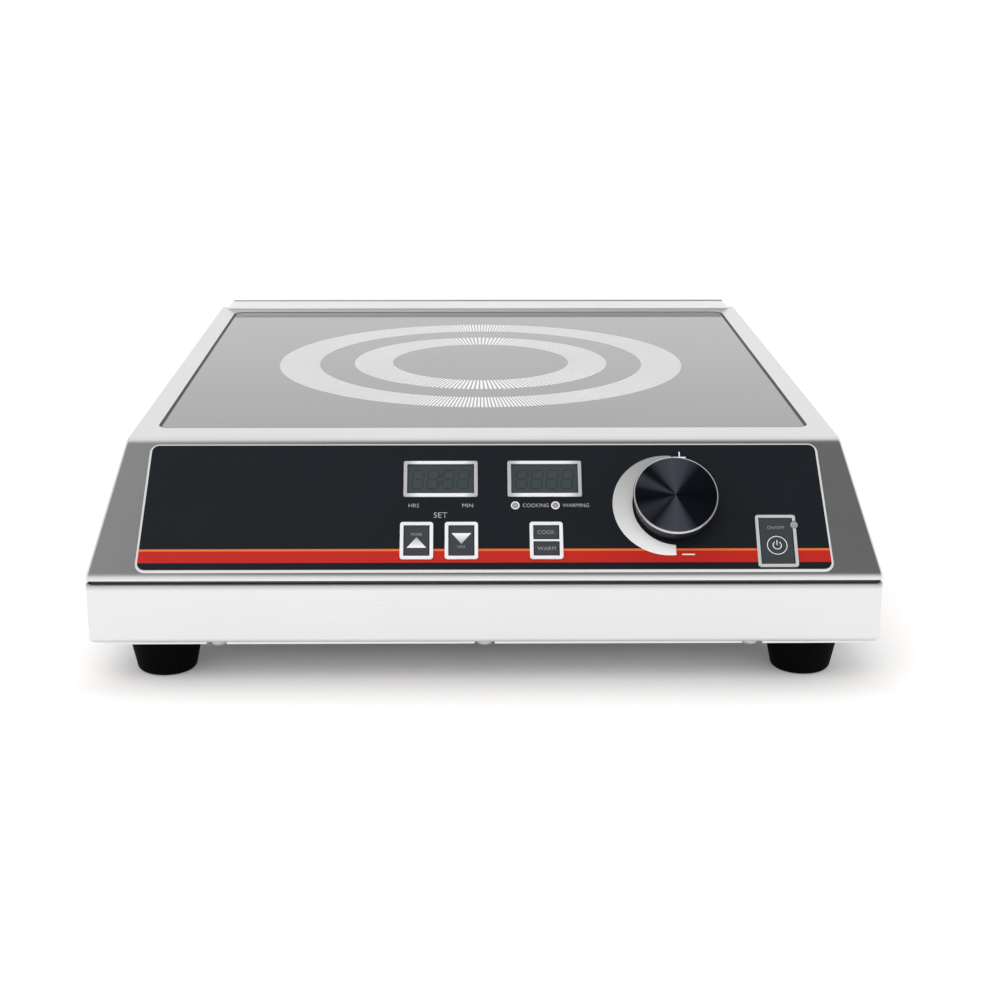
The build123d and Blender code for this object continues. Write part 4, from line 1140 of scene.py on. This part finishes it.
class COOKER_OT_scale(bpy.types.Operator):
    """Prints the heat scale that swells round the knob, with its plus and minus"""

    bl_idname = "cooker.scale"
    bl_label = "Heat scale"

    def execute(self, context):
        finishes, prints = settings(context)
        middle = panel_centre("knob_cap")
        thickness = 2 * prints.thickness
        bright = finishes.white_ink
        shaded = ("scale_ink", bright, darker(bright, 0.35))
        white = satin("sign_ink", bright, 0.4, vary=0.95)
        arm, half = SIGN_ARM, SIGN_STROKE / 2
        plus = [
            (-arm, -half), (-half, -half), (-half, -arm), (half, -arm), (half, -half), (arm, -half),
            (arm, half), (half, half), (half, arm), (-half, arm), (-half, half), (-arm, half),
        ]
        minus = box_outline(-arm, -half, arm, half)
        marks = (
            ("heat_scale", self.crescent(prints), (0, 0), shaded),
            ("scale_plus", plus, PLUS_PLACE, white),
            ("scale_minus", minus, MINUS_PLACE, white),
        )
        for name, outline, (right, up), ink in marks:
            piece = flat_shape(name, [outline])
            lay(piece, thickness, FILM, middle.x + right, middle.y + up, ink)
        return {"FINISHED"}

    def crescent(self, prints):
        """The left half of a ring between two circles that are off centre."""
        shift = prints.scale_shift
        hollow = prints.scale_hollow
        outer_reach = math.degrees(math.acos(shift / prints.scale_outside))
        inner_reach = math.degrees(math.acos(-hollow / prints.scale_inside))
        outer = arc((-shift, 0), prints.scale_outside, outer_reach, 360 - outer_reach, 48)
        inner = arc((hollow, 0), prints.scale_inside, 360 - inner_reach, inner_reach, 48)
        return outer + inner


class COOKER_OT_feet(bpy.types.Operator):
    """Gives the feet and the cord inlet their rubber"""

    bl_idname = "cooker.feet"
    bl_label = "Feet and inlet"

    def execute(self, context):
        rubber = satin(
            "foot_rubber", context.scene.cooker_finishes.rubber, 0.7,
            grain=RUBBER_GRAIN, depth=RUBBER_DEPTH, vary=0.7, gloss=0.04,
        )
        dress(
            rubber, "foot_front_left", "foot_front_right", "foot_rear_left", "foot_rear_right",
            "cord_grommet",
        )
        return {"FINISHED"}


class COOKER_OT_fasteners(bpy.types.Operator):
    """Plates the screws and the nuts"""

    bl_idname = "cooker.fasteners"
    bl_label = "Screws and nuts"

    def execute(self, context):
        plated = satin("zinc_plate", context.scene.cooker_finishes.zinc, 0.32, metallic=1.0)
        dress(
            plated, "control_screws", "coil_screws", "fan_screws", "foot_screws", "base_screws",
            "hex_nuts", "encoder_nut", "encoder_shaft",
        )
        return {"FINISHED"}


class COOKER_OT_inside(bpy.types.Operator):
    """Finishes the boards, the coil, the fan and the other pieces inside"""

    bl_idname = "cooker.inside"
    bl_label = "Pieces inside"

    def execute(self, context):
        black = satin("moulded_black", (0.018, 0.018, 0.019), 0.5)
        white = satin("moulded_white", (0.72, 0.71, 0.68), 0.5)
        finishes = (
            (black, ("knob_hub", "encoder_body", "buzzer", "fan_frame", "fan_rotor", "terminal_block")),
            (white, ("lcd_holders", "control_spacers", "coil_former", "coil_posts", "board_supports")),
            (satin("board_lacquer", (0.02, 0.11, 0.045), 0.4, vary=0.75), ("control_board", "power_board")),
            (satin("switch_black", (0.02, 0.02, 0.021), 0.45), ("key_switches",)),
            (satin("ribbon_grey", (0.42, 0.43, 0.45), 0.5), ("ribbon_cable",)),
            (satin("coil_copper", (0.72, 0.31, 0.14), 0.35, metallic=0.9), ("induction_coil",)),
            (satin("ferrite_grey", (0.045, 0.043, 0.042), 0.6), ("ferrite_bars",)),
            (satin("mica_sheet", (0.55, 0.50, 0.40), 0.4, vary=0.7), ("insulation_sheet",)),
            (satin("sensor_silicone", (0.60, 0.58, 0.54), 0.55), ("sensor_cap",)),
            (satin("stator_iron", (0.20, 0.19, 0.18), 0.45, metallic=0.8), ("fan_stator",)),
            (satin("sink_aluminium", (0.70, 0.71, 0.72), 0.38, metallic=1.0), ("heat_sink",)),
            (satin("transistor_epoxy", (0.016, 0.016, 0.016), 0.45), ("power_transistors",)),
            (satin("capacitor_yellow", (0.62, 0.38, 0.05), 0.4), ("film_capacitors",)),
            (satin("choke_core", (0.10, 0.14, 0.09), 0.5), ("filter_choke",)),
        )
        for finish, nodes in finishes:
            dress(finish, *nodes)
        return {"FINISHED"}


# How white the dome is, from its rim up to the middle of the dark canopy
SKY = ((0.71, 1.0), (0.775, 0.78), (0.89, 0.41), (0.936, 0.155), (0.985, 0.11))
CANOPY = Vector((0.17, -0.42, 0.89)).normalized()

# Soft lamps: name, place, size and watts
SOFTBOXES = (
    ("left_softbox", (-1.3, -0.2, 1.25), (1.0, 1.4), 5),
    ("right_softbox", (1.4, 0.1, 1.25), (0.8, 1.4), 3),
    ("rear_softbox", (0, 1.2, 1.5), (1.8, 0.8), 5),
    ("fill_softbox", (-0.2, -1.1, 1.35), (1.2, 0.8), 9),
)
LAMP_TARGET = Vector((0, 0, 0.06))

FLOOR_SIZE = 80
FLOOR_TONES = ((0.660, 0.648, 0.640), (0.670, 0.658, 0.650))
# Where the far floor starts and ends to turn white, off the part's sides
FAR_FLOOR = (0.3, 1.5)


class COOKER_OT_stage(bpy.types.Operator):
    """Sets the pale floor, the soft light and the camera"""

    bl_idname = "cooker.stage"
    bl_label = "Studio stage"

    def execute(self, context):
        stage = context.scene.cooker_stage
        self.floor(stage)
        self.studio_light(context, stage)
        for softbox in SOFTBOXES:
            self.softbox(*softbox)
        self.camera(context, stage)
        context.scene.view_settings.view_transform = "Standard"
        return {"FINISHED"}

    def floor(self, stage):
        """A pale floor that glows whiter away from the part, a painted light, and keeps the part's shadow;
        where the glow fades in sets how far that shadow reaches.
        """
        floor = begin("studio_floor", bpy.ops.mesh.primitive_plane_add, size=FLOOR_SIZE)
        finish = Finish("floor_white", Roughness=0.9, Specular_IOR_Level=0.1, Emission_Color=(1, 1, 1))
        speckle = finish.noise(FLOOR_SPECKLE, detail=1)
        finish.shade(finish.blend(finish.spread(speckle, 0, 1), *FLOOR_TONES), "Base Color")
        path = finish.add("ShaderNodeLightPath").outputs
        seen = finish.math("MAXIMUM", path["Is Camera Ray"], path["Is Glossy Ray"])
        seen = finish.math("MAXIMUM", seen, path["Is Transmission Ray"])
        place = finish.split(finish.place())
        beside = finish.math("SUBTRACT", finish.math("ABSOLUTE", place["X"]), CAD_BOX[1].x)
        before = finish.math("SUBTRACT", finish.math("ABSOLUTE", place["Y"]), CAD_BOX[1].y)
        clear = finish.math("MAXIMUM", beside, before)
        fade = (-stage.floor_shade, stage.floor_fade)
        # Painted glow: weakest under the part and growing away from it, for camera, glossy and transmission
        # rays.
        near = finish.spread(clear, stage.floor_near, stage.floor_open, *fade, soft=True)
        far = finish.spread(clear, 0, stage.floor_far, *FAR_FLOOR)
        painted_glow = finish.math("ADD", near, far)
        finish.shade(finish.math("MULTIPLY", seen, painted_glow), "Emission Strength")
        finish_with(floor, finish.material)

    def studio_light(self, context, stage):
        """A white dome with a dark canopy overhead, a little to the right."""
        world = bpy.data.worlds.new("studio")
        world.use_nodes = True
        context.scene.world = world
        tree = world.node_tree
        place = tree.nodes.new("ShaderNodeTexCoord")
        nearness = tree.nodes.new("ShaderNodeVectorMath")
        nearness.operation = "DOT_PRODUCT"
        nearness.inputs[1].default_value = CANOPY
        ramp = tree.nodes.new("ShaderNodeValToRGB")
        fill_ramp(ramp, [(reach, share * stage.dome) for reach, share in SKY])
        tree.links.new(place.outputs["Generated"], nearness.inputs[0])
        tree.links.new(nearness.outputs["Value"], ramp.inputs["Fac"])
        tree.links.new(ramp.outputs["Color"], tree.nodes["Background"].inputs["Color"])

    def softbox(self, name, place, size, power):
        """A soft lamp. Polished steel shows the dome instead of it."""
        lamp = begin(name, bpy.ops.object.light_add, type="AREA", location=place)
        lamp.data.shape = "RECTANGLE"
        lamp.data.size, lamp.data.size_y = size
        lamp.data.energy = power
        aim = LAMP_TARGET - Vector(place)
        lamp.rotation_euler = aim.to_track_quat("-Z", "Y").to_euler()
        lamp.visible_glossy = False

    def camera(self, context, stage):
        bpy.ops.object.camera_add(
            location=on_glass().translation + Vector(stage.camera),
            rotation=(math.pi / 2 - stage.pitch, 0, -stage.yaw),
        )
        camera = bpy.context.object
        camera.data.lens = stage.lens
        camera.data.sensor_width = 36
        camera.data.shift_x = stage.shift
        camera.data.clip_start = 10 * MM
        context.scene.camera = camera


PIECES = (
    COOKER_OT_shell, COOKER_OT_hem, COOKER_OT_glass, COOKER_OT_film, COOKER_OT_frames,
    COOKER_OT_displays, COOKER_OT_keys, COOKER_OT_labels, COOKER_OT_lamps, COOKER_OT_knob,
    COOKER_OT_scale, COOKER_OT_feet, COOKER_OT_fasteners, COOKER_OT_inside, COOKER_OT_stage,
)


class COOKER_PT_build(bpy.types.Panel):
    """Lists the cooker's pieces in the sidebar"""

    bl_label = "Induction cooker"
    bl_idname = "COOKER_PT_build"
    bl_space_type = "VIEW_3D"
    bl_region_type = "UI"
    bl_category = "Cooker"

    def draw(self, context):
        for piece in PIECES:
            self.layout.operator(piece.bl_idname)
        scene = context.scene
        for group in (scene.cooker_finishes, scene.cooker_prints, scene.cooker_stage):
            box = self.layout.box()
            for name in group.__annotations__:
                box.prop(group, name)


CLASSES = (CookerFinishes, CookerPrints, CookerStage, *PIECES, COOKER_PT_build)


def register():
    for kind in CLASSES:
        bpy.utils.register_class(kind)
    bpy.types.Scene.cooker_finishes = PointerProperty(type=CookerFinishes)
    bpy.types.Scene.cooker_prints = PointerProperty(type=CookerPrints)
    bpy.types.Scene.cooker_stage = PointerProperty(type=CookerStage)


def unregister():
    del bpy.types.Scene.cooker_stage
    del bpy.types.Scene.cooker_prints
    del bpy.types.Scene.cooker_finishes
    for kind in reversed(CLASSES):
        bpy.utils.unregister_class(kind)


def main():
    register()
    bpy.ops.cooker.shell()
    bpy.ops.cooker.hem()
    bpy.ops.cooker.glass()
    bpy.ops.cooker.film()
    bpy.ops.cooker.frames()
    bpy.ops.cooker.displays()
    bpy.ops.cooker.keys()
    bpy.ops.cooker.labels()
    bpy.ops.cooker.lamps()
    bpy.ops.cooker.knob()
    bpy.ops.cooker.scale()
    bpy.ops.cooker.feet()
    bpy.ops.cooker.fasteners()
    bpy.ops.cooker.inside()
    bpy.ops.cooker.stage()


if __name__ == "__main__":
    main()
